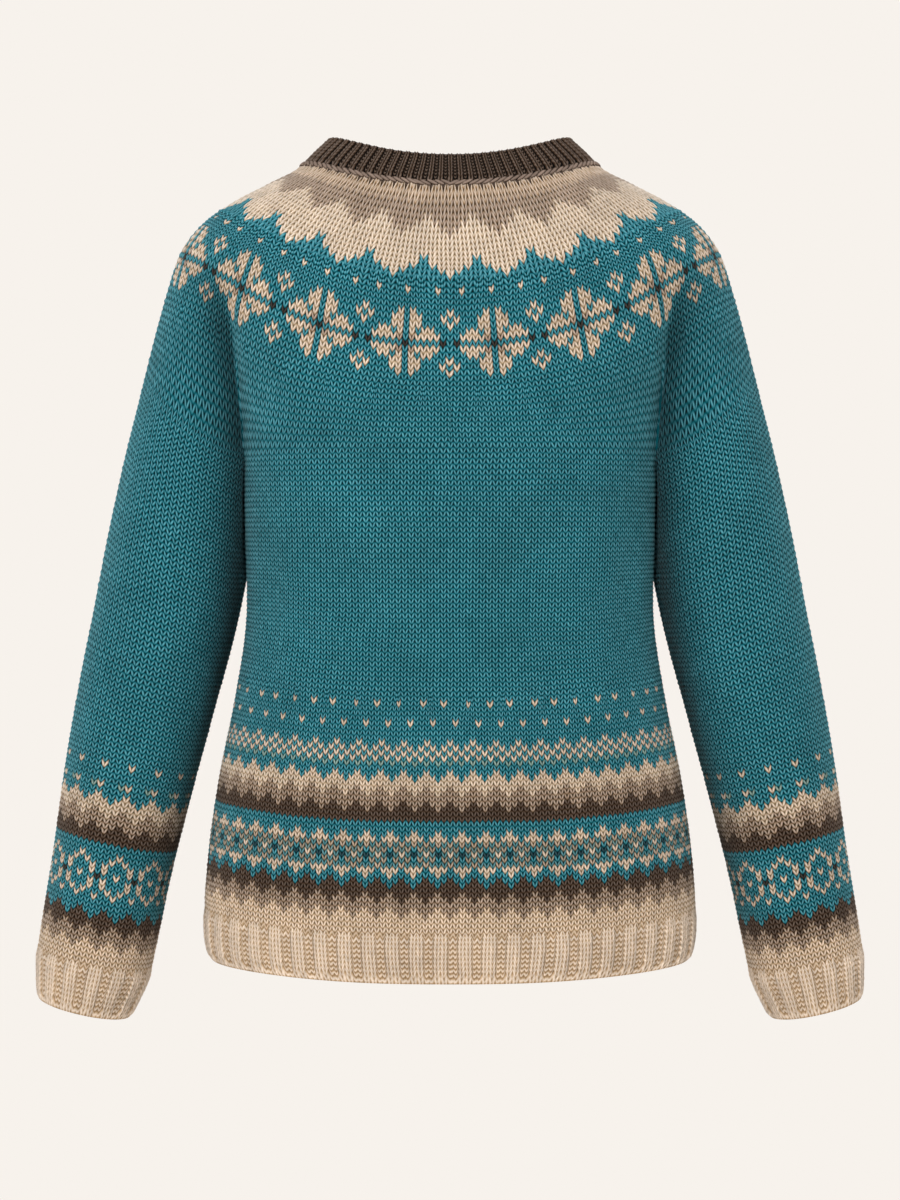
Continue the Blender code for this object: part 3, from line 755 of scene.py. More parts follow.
class StitchForm(NamedTuple):
    """A stitch on the lines at its wale's middle, between, and at its edge."""

    lift: tuple[float, float, float]    # how many rows its strand rises
    crest: tuple[float, float, float]   # the strand's height, of the yarn relief
    dip: tuple[float, float, float]     # the height between this strand and the next row's
    # The tone and the gap are painted light and shade: the top of a strand is lit, the place between strands
    # shaded.
    tone: tuple[float, float, float]    # how high the strand looks: it is lit by this
    gap: tuple[float, float, float]     # how low the place between two strands looks
    stand: float                        # how far the wale stands out, of the rib relief


class Stitch(Enum):
    """The stitches: a plain one is a V of two strands, a purled one a low arch."""

    KNIT = StitchForm((0.0, 0.48, 0.94), (0.45, 1.0, 0.38), (-0.70, 0.45, -0.85),
                      (0.14, 1.0, 0.04), (-0.90, -0.26, -1.05), 0.0)
    LONG_KNIT = StitchForm((0.0, 0.80, 1.50), (0.35, 1.0, 0.30), (-0.85, 0.60, -0.80),
                           (0.15, 1.0, 0.05), (-1.05, 0.30, -0.95), 0.0)
    RIB_KNIT = StitchForm((0.0, 0.90, 1.50), (0.15, 1.0, 0.15), (-0.80, 0.80, -0.80),
                          (0.10, 1.0, 0.10), (-0.75, 0.30, -0.80), 1.0)
    RIB_PURL = StitchForm((0.0, 0.25, 0.50), (0.85, 0.70, 0.65), (-0.55, -0.05, -0.90),
                          (0.90, 0.75, 0.50), (-0.70, -0.35, -0.95), -1.0)
    NECK_KNIT = StitchForm((0.0, 0.80, 1.30), (0.05, 1.0, -0.45), (-0.80, 0.75, -0.90),
                           (-0.40, 1.0, -0.75), (-1.00, 0.20, -1.00), 0.8)
    NECK_PURL = StitchForm((0.0, 0.20, 0.45), (0.75, 0.40, -0.45), (-0.85, -0.65, -0.90),
                           (1.00, 0.55, -0.60), (-0.95, -0.95, -1.00), -0.7)


@dataclass
class Zone:
    """A stretch of rows with one number of stitches round the whole garment piece."""

    wales: int
    shades: Array                              # a row of shade numbers for each row, all round
    kinds: tuple[Stitch, ...] = (Stitch.KNIT,)
    straight_top: bool = False                 # the first row starts on a level line
    straight_bottom: bool = False

    @classmethod
    def charted(cls, wales: int, rows: tuple[str, ...], *form: object, **ends: bool) -> "Zone":
        """A zone whose chart starts at the back middle, with kinds and ends as they come."""
        return cls(wales, Chart(rows).shades(np.arange(wales)), *form, **ends)

    @property
    def rows(self) -> int:
        """How many rows it has."""
        return len(self.shades)

    def freed(self, p: Array, top_run: float) -> Array:
        """How free each row of points is of a straight edge: 0 on it, 1 from a few points on.

        Args:
            p: Numbers of the rows of points.
            top_run: How many of them it takes below a straight upper edge.

        Returns:
            Shares from 0 to 1, of the same shape.
        """
        free = np.ones_like(p, dtype=float)
        if self.straight_top:
            free = np.minimum(free, p / top_run)
        if self.straight_bottom:
            free = np.minimum(free, (2 * self.rows - p) / 2.0)
        return free

    def line_profile(self, lines: Array) -> dict[str, Array]:
        """Each line's form: an edge is shared evenly by its two wales."""
        place = lines % LINES_PER_WALE
        step = np.array([0, 1, 2, 1])[place]
        wale = (lines + 1) // LINES_PER_WALE
        other = np.where(place == 2, wale + 1, wale)
        wale = np.where(place == 2, wale, (lines + 2) // LINES_PER_WALE)
        other = np.where(place == 2, other, wale)
        forms = [kind.value for kind in self.kinds]
        profile = {}
        for name in ("lift", "crest", "dip", "tone", "gap"):
            table = np.array([getattr(form, name) for form in forms])
            one, two = table[wale % len(forms), step], table[other % len(forms), step]
            profile[name] = np.maximum(one, two) if name == "lift" else (one + two) / 2
        stand = np.array([form.stand for form in forms])
        profile["stand"] = (stand[wale % len(forms)] + stand[other % len(forms)]) / 2
        return profile


def merge_strip(upper: Array, lower: Array) -> tuple[Array, Array]:
    """Triangles between two rows of points with different spacing, by walking both at once.

    Args:
        upper: Rising places of the upper row's points, its end point included.
        lower: The same for the lower row.

    Returns:
        Triangles as places in the two rows, and which of them are the lower row's.
    """
    after_upper = np.arange(1, len(upper))
    met = np.searchsorted(lower[1:], upper[1:], side="left")
    one = np.stack([after_upper - 1, after_upper, met], axis=-1)
    after_lower = np.arange(1, len(lower))
    passed = np.searchsorted(upper[1:], lower[1:], side="right")
    two = np.stack([passed, after_lower, after_lower - 1], axis=-1)
    triangles = np.concatenate([one, two])
    is_lower = np.concatenate([np.tile([False, False, True], (len(one), 1)),
                               np.tile([False, True, True], (len(two), 1))])
    return triangles, is_lower


@dataclass
class Edge:
    """The lowest row of points of a finished stretch of knitting, which the next one meets."""

    wales: Array               # where each point is, in wales from the back middle, rising
    points: Array
    # how deep each point looks, which paints its light and shade
    depth: Array
    count: int | None = None   # wales all round, if it is closed

    def read(self, wales: Array) -> tuple[Array, Array]:
        """Points and depths along the edge, between its own points."""
        at, points, depth = self.wales, self.points, self.depth
        if self.count is not None:
            wales = (wales - at[0]) % self.count + at[0]
            at = np.append(at, at[0] + self.count)
            points, depth = np.concatenate([points, points[:1]]), np.append(depth, depth[0])
        read = np.stack([np.interp(wales, at, points[:, axis]) for axis in range(3)], axis=-1)
        return read, np.interp(wales, at, depth)


def carry_up(wales: Array, count: int, above: int) -> Array:
    """Wales of a stretch as wales of the stretch above it, where stitches were added.

    The wales run on straight but for those of the upper stretch that split in two. These are
    spread evenly on each side, and none is at a middle.

    Args:
        wales: Places in wales from the back middle.
        count: Wales all round in this stretch.
        above: Wales all round in the one above, no more than count.

    Returns:
        The same places in the upper stretch's wales.
    """
    extra = (count - above) // 2
    half = above // 2
    splits = 1 + ((np.arange(extra) + 0.5) * (half - 1) / max(extra, 1)).astype(int)
    width = np.ones(above)
    width[splits] = 2
    width[above - splits] = 2
    lower = np.concatenate([[0.0], np.cumsum(width)]) - 0.5
    upper = np.arange(above + 1) - 0.5
    turns = np.floor((wales + 0.5) / count)
    return np.interp(wales - turns * count, lower, upper) + turns * above


def placed(name: str, data: bpy.types.ID, location: tuple[float, ...] = (0.0, 0.0, 0.0),
           rotation: tuple[float, ...] = (0.0, 0.0, 0.0)) -> bpy.types.Object:
    """A new object in the scene, with its place and turn."""
    made = bpy.data.objects.new(name, data)
    made.location = location
    made.rotation_euler = rotation
    bpy.context.scene.collection.objects.link(made)
    return made


def store(target: bpy.types.bpy_prop_collection, name: str, values: Array,
          kind: type = np.float32) -> None:
    """Fill one property of every member of a mesh's collection."""
    target.foreach_set(name, values.astype(kind).ravel())


def whole_turn(u: Array) -> Array:
    """Places round with the first one again at their end, one turn on."""
    return np.append(u, u[0] + 1.0)


@dataclass
class Row:
    """A row of points already in a shell: their numbers, places round, and place down the map."""

    index: Array
    u: Array
    v: float

    def closed(self) -> "Row":
        """The same row with its first point again at its end, one turn on."""
        return Row(np.append(self.index, self.index[0]), whole_turn(self.u), self.v)


class Shell:
    """The points and faces of one closed wall, gathered piece by piece."""

    MAP_MARGIN = 0.002         # left free on each side of the map

    def __init__(self) -> None:
        """Start with nothing."""
        self.points: list[Array] = []
        self.depth: list[Array] = []
        self.count = 0
        self.rims: list[Array] = []
        self.faces: list[tuple[Array, Array, Array, Array]] = []

    def add_points(self, points: Array, depth: Array) -> Array:
        """Take a grid of points and how deep in the knit they look, which paints their light and shade, and
        return their numbers.
        """
        shape = points.shape[:-1]
        self.points.append(points.reshape(-1, 3))
        self.depth.append(np.broadcast_to(depth, shape).ravel())
        index = np.arange(self.count, self.count + int(np.prod(shape))).reshape(shape)
        self.count += index.size
        return index

    def add_faces(self, corners: Array, uv: Array, colour: Array, strand: Array | None = None) -> None:
        """Take faces of one size: corner numbers, map places, a colour each, and strand places."""
        if strand is None:
            strand = np.zeros_like(uv)
        self.faces.append((corners, uv, np.broadcast_to(colour, (len(corners), 3)), strand))

    def add_grid(self, index: Array, u: Array, v: Array, colour: Array,
                 strand: Array | None = None) -> None:
        """Quads of a grid, which is closed round where there is one more map place than columns.

        Args:
            index: Point numbers, rows by columns.
            u: Map places of the columns, and of the first one again if the grid is closed.
            v: Map places of the rows.
            colour: One colour, or one for each quad.
            strand: Strand places of each quad's corners.
        """
        if len(u) > index.shape[1]:
            index = np.concatenate([index, index[:, :1]], axis=1)

        def corners(grid: Array) -> Array:
            """The four corners of each quad of a grid."""
            parts = (grid[:-1, :-1], grid[:-1, 1:], grid[1:, 1:], grid[1:, :-1])
            return np.stack([part.ravel() for part in parts], axis=-1)

        u_grid, v_grid = np.broadcast_to(u, index.shape), np.broadcast_to(v[:, None], index.shape)
        uv = np.stack([corners(u_grid), corners(v_grid)], axis=-1)
        self.add_faces(corners(index), uv, colour, strand)

    def add_strip(self, upper: Row, lower: Row, colour: Array) -> None:
        """Triangles that join two rows, the upper one outside or above, with sharp edges.

        Args:
            upper: The one row.
            lower: The other, which may have another number of points.
            colour: One colour, or one for each triangle.
        """
        self.rims += [upper.index, lower.index]
        triangles, is_lower = merge_strip(upper.u, lower.u)
        top, low = len(upper.index) - 1, len(lower.index) - 1
        at_top, at_low = np.minimum(triangles, top), np.minimum(triangles, low)
        corners = np.where(is_lower, lower.index[at_low], upper.index[at_top])
        u = np.where(is_lower, lower.u[at_low], upper.u[at_top])
        v = np.where(is_lower, lower.v, upper.v)
        self.add_faces(corners, np.stack([u, v], axis=-1), colour)

    def build(self, name: str, mirror: bool = False) -> bpy.types.Object:
        """Make the mesh object, with its map, strand places, its dye with painted light in it, and how deep
        each point looks, which paints light and shade.

        Args:
            name: The piece's name.
            mirror: Whether to turn it into its right-hand twin.

        Returns:
            The new object, at the origin.
        """
        points = np.concatenate(self.points)
        corners, uv, dye, strand = zip(*self.faces)
        if mirror:
            points = points * np.array([-1.0, 1.0, 1.0])
            corners, uv, strand = ([part[:, ::-1] for part in parts] for parts in (corners, uv, strand))
        sizes = np.concatenate([np.full(len(part), part.shape[1]) for part in corners])
        mesh = bpy.data.meshes.new(name)
        mesh.vertices.add(len(points))
        store(mesh.vertices, "co", points)
        mesh.loops.add(int(sizes.sum()))
        store(mesh.loops, "vertex_index", np.concatenate([part.ravel() for part in corners]), np.int32)
        mesh.polygons.add(len(sizes))
        store(mesh.polygons, "loop_start", np.concatenate([[0], np.cumsum(sizes)[:-1]]), np.int32)
        mesh.update(calc_edges=True)
        uv, strand = (np.concatenate([part.reshape(-1, 2) for part in parts]) for parts in (uv, strand))
        low, high = uv.min(0), uv.max(0)
        uv = self.MAP_MARGIN + (1 - 2 * self.MAP_MARGIN) * (uv - low) / (high - low)
        store(mesh.uv_layers.new(name="OFBake").data, "uv", uv)
        store(mesh.uv_layers.new(name="Strand").data, "uv", strand)
        dye = np.concatenate([np.repeat(rgb, part.shape[1], axis=0) for part, rgb in zip(corners, dye)])
        dye = np.concatenate([dye, np.ones((len(dye), 1))], axis=1)
        # The dye, with the folds' painted shade and the chain's painted highlight in it
        store(mesh.color_attributes.new(name="DyeWithPaintedLight", type="FLOAT_COLOR", domain="CORNER").data, "color", dye)
        # Painted light and shade: the material lights each point by how deep in the knit it looks
        depth = mesh.attributes.new(name="Depth", type="FLOAT", domain="POINT")
        store(depth.data, "value", np.concatenate(self.depth))
        mesh.shade_smooth()
        self._sharpen(mesh)
        mesh.validate()
        return placed(name, mesh)

    def _sharpen(self, mesh: bpy.types.Mesh) -> None:
        """Mark the edges along every rim as sharp, so that the knit is shaded on its own."""
        rim = np.full(self.count, -1)
        for number, index in enumerate(self.rims):
            rim[index] = number
        ends = np.empty(len(mesh.edges) * 2, dtype=np.int32)
        mesh.edges.foreach_get("vertices", ends)
        one, two = rim[ends.reshape(-1, 2)].T
        sharp = mesh.attributes.new(name="sharp_edge", type="BOOLEAN", domain="EDGE")
        sharp.data.foreach_set("value", (one == two) & (one >= 0))


def tension(rows: Array, wales: Array, rng: np.random.Generator) -> Array:
    """Slow unevenness of hand knitting: a mean of long waves with random lengths and turns."""
    total = np.zeros(np.broadcast_shapes(rows.shape, wales.shape))
    for _ in range(WAVES):
        length = rng.uniform(*WAVE_LENGTHS, 2)
        turn = rng.uniform(0.0, 2 * np.pi)
        total = total + np.sin(2 * np.pi * (rows / length[0] + wales / length[1]) + turn)
    return total / WAVES


class Knitting:
    """Knits zones onto a surface as one closed wall: the relief outside, a plain wall within."""

    INNER_STEP = 5             # rows between two rows of the plain inside
    INNER_CREASE = 0.0         # how much further in the plain inside lies behind a dark crease
    # The plain inside has a painted shade: it looks this deep in the knit.
    INNER_DEPTH = -0.2         # how deep in the knit it looks
    JOIN_ROWS = 6              # half rows over which a stretch's top yields to the edge above
    JOIN_GAP = 0.05            # gap at such a place, of half a row
    SETTLE_ROWS = 7.0          # rows below a change of count until the wales lie evenly

    ROW_DRIFT = 0.18           # how many rows the slow unevenness moves a stitch up or down
    SIDE_DRIFT = 0.20          # how many wales it moves one sideways
    DRIFT_START = 50.0         # rows from the first of these waves to the second
    CREST_SPREAD = 0.13        # how much strands differ in height from stitch to stitch
    TONE_SPREAD = 0.10         # and in how high they look
    DYE_SPREAD = 0.045         # and in brightness
    TWISTS = 4.0               # how far into the plies' pattern a strand may start

    TOP_EDGE = -0.8            # height of the first row of points at a straight upper edge
    BOTTOM_EDGE = -0.4         # and of the last one at a straight lower edge

    # A purled wale below another piece starts in its shadow, with a flat bump and then a plump one
    PURL_START = (-0.5, 0.4, -0.5, 1.1)
    # The tones are painted: shade where the wale starts, light on its plump bump
    PURL_START_TONES = (-0.5, 0.45, -0.5, 1.0)

    # Heights on the map, of which the outside takes the first; gaps give the rims some width
    MAP_OUTER = 0.90
    MAP_WALL_GAP = 0.03        # between outside and inside
    MAP_HEAD = 0.02            # above the inside
    MAP_ZONE_GAP = 0.04        # in rows, above and below each zone
    MAP_SIDE = 1.0 / 60        # width of the rim at an open side
    MAP_SIDE_START = 0.15      # where it starts, of its width

    def __init__(self, cloth: Cloth, zones: list[Zone], seed: int, meets: Edge | None = None) -> None:
        """Keep the surface, the zones and the edge above, and start the random draws."""
        self.cloth = cloth
        self.zones = zones
        self.rng = np.random.default_rng(seed)
        self.meets = meets
        self.total = sum(zone.rows for zone in zones)
        self.above = np.cumsum([0] + [zone.rows for zone in zones])

    def place(self, number: int, rows: Array, wales: Array) -> tuple[Array, Array]:
        """Where a stitch's place lies on the surface; each piece has its own.

        Args:
            number: The zone's number.
            rows: Rows from the piece's top, counted through all its zones.
            wales: Wales from the back middle, in this zone's count.

        Returns:
            Row coordinates and shares of the surface.
        """
        raise NotImplementedError

    def line_range(self, zone: Zone) -> tuple[Array, bool]:
        """The lines that the piece has in a zone, and whether they close round."""
        return np.arange(zone.wales * LINES_PER_WALE), True

    def _zone_points(self, number: int, lines: Array) -> tuple[Array, Array, Array]:
        """One zone's outer points.

        A point's row is half its number less the line's lift; its height is the crest on odd
        rows of points and the dip on even ones, made a little uneven from stitch to stitch. How
        deep it looks, which paints its light and shade, follows the tone and the gap in the same way.

        Args:
            number: The zone's number.
            lines: Its lines.

        Returns:
            The points, how deep they look for painted light and shade, and the folds' painted shade.
        """
        zone = self.zones[number]
        above = self.above[number]
        profile = zone.line_profile(lines)
        p = np.arange(2 * zone.rows + 1)[:, None]
        wales = lines[None, :] / LINES_PER_WALE
        row = p / 2.0 - profile["lift"] * zone.freed(p, 3.0)
        inside = np.minimum(1.0, np.minimum(p, 2 * zone.rows - p) / 2.0)
        drift = tension(p / 2.0 + above, wales, self.rng)
        row = row + above + self.ROW_DRIFT * drift * inside
        sideways = tension(p / 2.0 + above + self.DRIFT_START, wales, self.rng)
        sideways = self.SIDE_DRIFT * sideways * inside
        twist = self.rng.normal(0.0, 1.0, (2 * zone.rows + 1, zone.wales + 1))
        uneven = twist[p, np.clip((lines[None, :] + 2) // LINES_PER_WALE % (zone.wales + 1), 0, zone.wales)]
        odd = p % 2 == 1
        height = np.where(odd, profile["crest"] * (1.0 + self.CREST_SPREAD * uneven), profile["dip"])
        looks = np.where(odd, profile["tone"] * (1.0 + self.TONE_SPREAD * uneven), profile["gap"])
        if self.meets is not None:
            start = np.minimum(p, len(self.PURL_START) - 1)
            purled = (profile["stand"] < 0) & (p == start)
            height = np.where(purled, np.take(self.PURL_START, start), height)
            looks = np.where(purled, np.take(self.PURL_START_TONES, start), looks)
        if zone.straight_top and number == 0:
            height = np.where(p == 0, self.TOP_EDGE, height)
        if zone.straight_bottom and number == len(self.zones) - 1:
            height = np.where(p == 2 * zone.rows, self.BOTTOM_EDGE, height)
        coordinate, share = self.place(number, row, wales + sideways)
        base, normal, shade = self.cloth.read(coordinate, share)
        stand = profile["stand"] * RIB_RELIEF * zone.freed(p, 2.0)
        points = base + normal * (height * YARN_RELIEF + stand)[..., None]
        return points, looks + RIB_SHADE * stand / RIB_RELIEF, shade

    def _dyes_with_crease_shade(self, zone: Zone, lines: Array, closed: bool, shade: Array) -> tuple[Array, Array]:
        """A colour, darkened by the folds' painted shade, and strand places for each quad of a zone, stitch
        by stitch.

        Args:
            zone: The zone.
            lines: Its lines.
            closed: Whether they close round.
            shade: How much darker the folds' painted shade makes each of its points.

        Returns:
            Colours, one a quad, and strand places, one for each corner: along the strand with a
            random start, and across it from -1 to 1.
        """
        count = len(lines) if closed else len(lines) - 1
        wale = ((lines[:count] + 2) // LINES_PER_WALE) % zone.wales

        def quads(stitches: Array) -> Array:
            """Values of stitches, for the two quads of each line of a stitch."""
            return np.repeat(stitches, 2, axis=0)[:, wale]

        size = (zone.rows, zone.wales)
        vary = quads(self.rng.normal(0.0, self.DYE_SPREAD, size))
        # The dyes, each darkened by the painted shade of the folds
        colour = DYES[quads(zone.shades)] * ((1.0 + vary) * (1.0 - shade[:-1, :count]))[..., None]
        along = np.abs(((lines + 2) % LINES_PER_WALE) - 2) / 2.0
        along = np.append(along, along[0]) if closed else along
        top = np.where(np.arange(2 * zone.rows) % 2 == 0, -1.0, 0.0)[:, None]
        turn = quads(self.rng.uniform(0.0, self.TWISTS, size))
        strand = np.stack([np.stack(np.broadcast_arrays(side + turn, top + down), axis=-1) for side, down in (
            (along[:-1], 0.0), (along[1:], 0.0), (along[1:], 1.0), (along[:-1], 1.0))], axis=2)
        return colour.reshape(-1, 3), strand.reshape(-1, 4, 2)

    def carried(self, number: int, wales: Array) -> Array:
        """A zone's wales as wales of the zone above it, or of the edge above the first zone."""
        if number == 0:
            return wales
        return carry_up(wales, self.zones[number].wales, self.zones[number - 1].wales)

    def meeting(self, lines: Array) -> Array:
        """Which of the first row's points meet the edge above."""
        return np.ones(len(lines), dtype=bool)

    def _join(self, edge: Edge, number: int, lines: Array, points: Array, depth: Array
              ) -> tuple[Array, Array]:
        """Bring a zone's first row to the edge above, and the next rows less and less.

        Args:
            edge: The edge above.
            number: The zone's number.
            lines: Its lines.
            points: Its points as they lie on the surface.
            depth: How deep in the knit they look, which paints their light and shade.

        Returns:
            The moved points, and depths whose first row is the edge's.
        """
        wales = self.carried(number, lines / LINES_PER_WALE)
        target, target_depth = edge.read(wales)
        held = self.meeting(lines) if number == 0 else np.ones(len(lines), dtype=bool)
        move = np.where(held[:, None], target - points[0], 0.0)
        share = (1.0 - np.arange(len(points)) / self.JOIN_ROWS).clip(0.0, 1.0)
        points = points + move * share[:, None, None]
        points[0] += (points[1] - points[0]) * held[:, None] * self.JOIN_GAP
        depth = depth.copy()
        depth[0] = np.where(held, target_depth, depth[0])
        return points, depth

    def knit(self) -> Shell:
        """Build the whole wall."""
        shell = Shell()
        above = 0
        edge = self.meets
        first: Row | None = None
        last: Row | None = None
        sides: tuple[list[Array], list[Array]] = ([], [])
        side_rows: list[Array] = []
        for number, zone in enumerate(self.zones):
            lines, closed = self.line_range(zone)
            points, depth, shade = self._zone_points(number, lines)
            if edge is not None:
                points, depth = self._join(edge, number, lines, points, depth)
            wales = lines / LINES_PER_WALE
            edge = Edge(wales, points[-1], depth[-1], zone.wales if closed else None)
            colour, strand = self._dyes_with_crease_shade(zone, lines, closed, shade)
            index = shell.add_points(points, depth)
            u = wales / zone.wales
            run = np.linspace(0.0, zone.rows - 2 * self.MAP_ZONE_GAP, 2 * zone.rows + 1)
            v = (above + self.MAP_ZONE_GAP + run) / self.total
            shell.add_grid(index, whole_turn(u) if closed else u, v * self.MAP_OUTER, colour, strand)
            top = Row(index[0], u, v[0] * self.MAP_OUTER)
            if last is not None:
                carried = self.carried(number, wales) / self.zones[number - 1].wales
                self._rim(shell, last, Row(top.index, carried, top.v), closed, colour[0])
            first = first or top
            last = Row(index[-1], u, v[-1] * self.MAP_OUTER)
            sides[0].append(index[:, 0])
            sides[1].append(index[:, -1])
            side_rows.append(v)
            above += zone.rows
        self.edge = edge
        self._line_inside(shell, first, last, sides, np.concatenate(side_rows), closed)
        return shell

    def _line_inside(self, shell: Shell, first: Row, last: Row, sides: tuple[list[Array], list[Array]],
                     side_rows: Array, closed: bool) -> None:
        """Add the plain inside and the rims that join it to the outside.

        Args:
            shell: The wall, with all of its outside.
            first: The outside's first row of points.
            last: Its last row.
            sides: Numbers of its points down the first side and down the last.
            side_rows: How far down the piece those are.
            closed: Whether it closes round, and has no sides.
        """
        zone = self.zones[0]
        steps = max(2, round(self.total / self.INNER_STEP)) + 1
        rows = np.linspace(0.0, self.total, steps)
        lines, _ = self.line_range(zone)
        wales = (lines[::2] if closed else np.append(lines[:-1:2], lines[-1])) / LINES_PER_WALE
        inner = []
        for row in rows:
            number = self._zone_at(row)
            scale = self.zones[number].wales / zone.wales
            coordinate, share = self.place(number, np.full(len(wales), row), wales * scale)
            base, normal, shade = self.cloth.read(coordinate, share)
            inner.append(base - normal * (WALL + self.INNER_CREASE * shade[..., None]))
        index = shell.add_points(np.array(inner), self.INNER_DEPTH)
        u = wales / zone.wales
        grid_u = whole_turn(u) if closed else u
        v = 1.0 - (1.0 - self.MAP_OUTER - self.MAP_WALL_GAP) * np.linspace(0.0, 1.0, steps)
        dyes = self._inner_dyes(rows, grid_u)
        shell.add_grid(index[::-1], grid_u, v[::-1], dyes[::-1].reshape(-1, 3))
        self._rim(shell, last, Row(index[-1], u, v[-1]), closed, dyes[-1, 0])
        head = Row(first.index, first.u, 1.0 + self.MAP_HEAD)
        self._rim(shell, Row(index[0], u, v[0]), head, closed, dyes[0, 0])
        if not closed:
            run = (side_rows - side_rows[0]) / (side_rows[-1] - side_rows[0])
            colour = DYES[zone.shades[0, 0]]
            for side, column, out in ((sides[0], 0, -1.0), (sides[1], -1, 1.0)):
                self._close_side(shell, np.concatenate(side), index[:, column], run, u[column], out, colour)

    def _close_side(self, shell: Shell, outer: Array, inner: Array, run: Array, u: float, out: float,
                    colour: Array) -> None:
        """Join outside and inside down one side of a piece that isn't closed round.

        Args:
            shell: The wall.
            outer: Numbers of the outside's points there.
            inner: Numbers of the inside's points there.
            run: How far down each of the outer points is, from 0 to 1.
            u: The side's place on the map.
            out: Which way is outwards on the map, 1 or -1.
            colour: The rim's colour.
        """
        place = np.linspace(0.0, 1.0, len(inner))
        triangles, is_inner = merge_strip(run, place)
        at_inner, at_outer = np.minimum(triangles, len(inner) - 1), np.minimum(triangles, len(outer) - 1)
        corners = np.where(is_inner, inner[at_inner], outer[at_outer])
        down = np.where(is_inner, place[at_inner], run[at_outer]) * self.MAP_OUTER
        across = u + out * self.MAP_SIDE * np.where(is_inner, 1.0, self.MAP_SIDE_START)
        uv = np.stack([across, down], axis=-1)
        if out < 0:
            corners, uv = corners[:, ::-1], uv[:, ::-1]
        shell.add_faces(corners, uv, colour)

    def _zone_at(self, row: float) -> int:
        """The number of the zone that holds a row."""
        return min(int(np.searchsorted(self.above, row, side="right")) - 1, len(self.zones) - 1)

    def settled(self, number: int, rows: Array, wales: Array) -> Array:
        """Even shares of wales, which below a change of count still follow the wales above."""
        even = wales / self.zones[number].wales
        if number == 0:
            return even
        followed = self.carried(number, wales) / self.zones[number - 1].wales
        t = smooth_step((rows - self.above[number]) / self.SETTLE_ROWS)
        return mixed(followed, even, t)

    def _inner_dyes(self, rows: Array, u: Array) -> Array:
        """Colours of the inside, read from the middle stitch of each stretch of the chart."""
        shades = []
        for row in (rows[:-1] + rows[1:]) / 2:
            number = self._zone_at(row)
            zone = self.zones[number]
            chart_row = min(int(row - self.above[number]), zone.rows - 1)
            wale = np.round((u[:-1] % 1.0) * zone.wales).astype(int) % zone.wales
            shades.append(zone.shades[chart_row, wale])
        return DYES[np.array(shades)]

    def _rim(self, shell: Shell, upper: Row, lower: Row, closed: bool, colour: Array) -> None:
        """Join two rows of points by a strip, around the thickness of the wall."""
        if closed:
            upper, lower = upper.closed(), lower.closed()
        shell.add_strip(upper, lower, colour)


def mixed(one: Array, two: Array, t: Array) -> Array:
    """Shares between two sets of shares, the short way round."""
    return one + ((two - one + 0.5) % 1.0 - 0.5) * t


def by_half(wales: Array, total: int, at: tuple[float, ...], shares: tuple[float, ...]) -> Array:
    """Shares of wales by a table for the left half, the same in the right half turned over."""
    turned, fold = folded(wales, total)
    share = np.interp(fold, at, shares)
    return np.where(turned <= total / 2, share, 1.0 - share)


def bow(shares: Array) -> Array:
    """How much lower the hem's seam and the bands lie: least at the sides, by a fourth power."""
    return BOW_MIDDLE - (BOW_MIDDLE + BOW_SIDE) * np.sin(2 * np.pi * shares) ** 4


def spread_ribs(wales: Array) -> Array:
    """Wales of a two-by-two rib, where the knitted pairs take some room from the purled ones."""
    return wales + RIB_SPREAD * np.sin(np.pi * (wales - 1.5) / 2)


# ---------------------------------------------------------------- the knitted pieces

# How far stitches lie from an even spread
RIB_SPREAD = 0.15              # of a wale, towards a wide rib's purled pairs
NECK_SPREAD = 0.07             # of a wale, towards the neckband's purled wales
BOW_MIDDLE = 0.0030            # how much lower the hem's seam lies at the middles, in metres
BOW_SIDE = 0.0060              # how much higher at the sides
EDGE_RISE = 0.0062             # how far the hem's edge rises at the sides

# Counts of wales all round, and of rows
NECK_WALES = 152
NECKBAND_ROWS = 9
TOOTH_WALES = 132
STAR_WALES = 224
CHEST_WALES = 256
CHEST_ROWS = 12
BACK_WALES = 38                # from the back middle to the crease
SLEEVE_OUTER_WALES = 56        # of the sleeve's wales, those that meet the yoke
GRAFT_WALES = 14               # and those that meet the body
BODY_WALES = 172
PLAIN_BODY_ROWS = 48
BAND_WALES = 204
HEM_ROWS = 10
RIB_PATTERN = (Stitch.RIB_PURL, Stitch.RIB_KNIT, Stitch.RIB_KNIT, Stitch.RIB_PURL)
SLEEVE_WALES = (70, 66, 62, 60)
SLEEVE_ROWS = (24, 22, 18)     # the bands' charts fill the last zone
CUFF_WALES = 60
CUFF_ROWS = 10


class NeckbandKnit(Knitting):
    """One narrow rib after another, round the neck."""

    def place(self, number: int, rows: Array, wales: Array) -> tuple[Array, Array]:
        """Rows run evenly from the neck edge to the seam; plain wales are a little the wider."""
        level = NECK_EDGE_LEVEL * (1.0 - rows / self.total)
        return level, (wales + NECK_SPREAD * np.sin(np.pi * wales)) / self.zones[number].wales


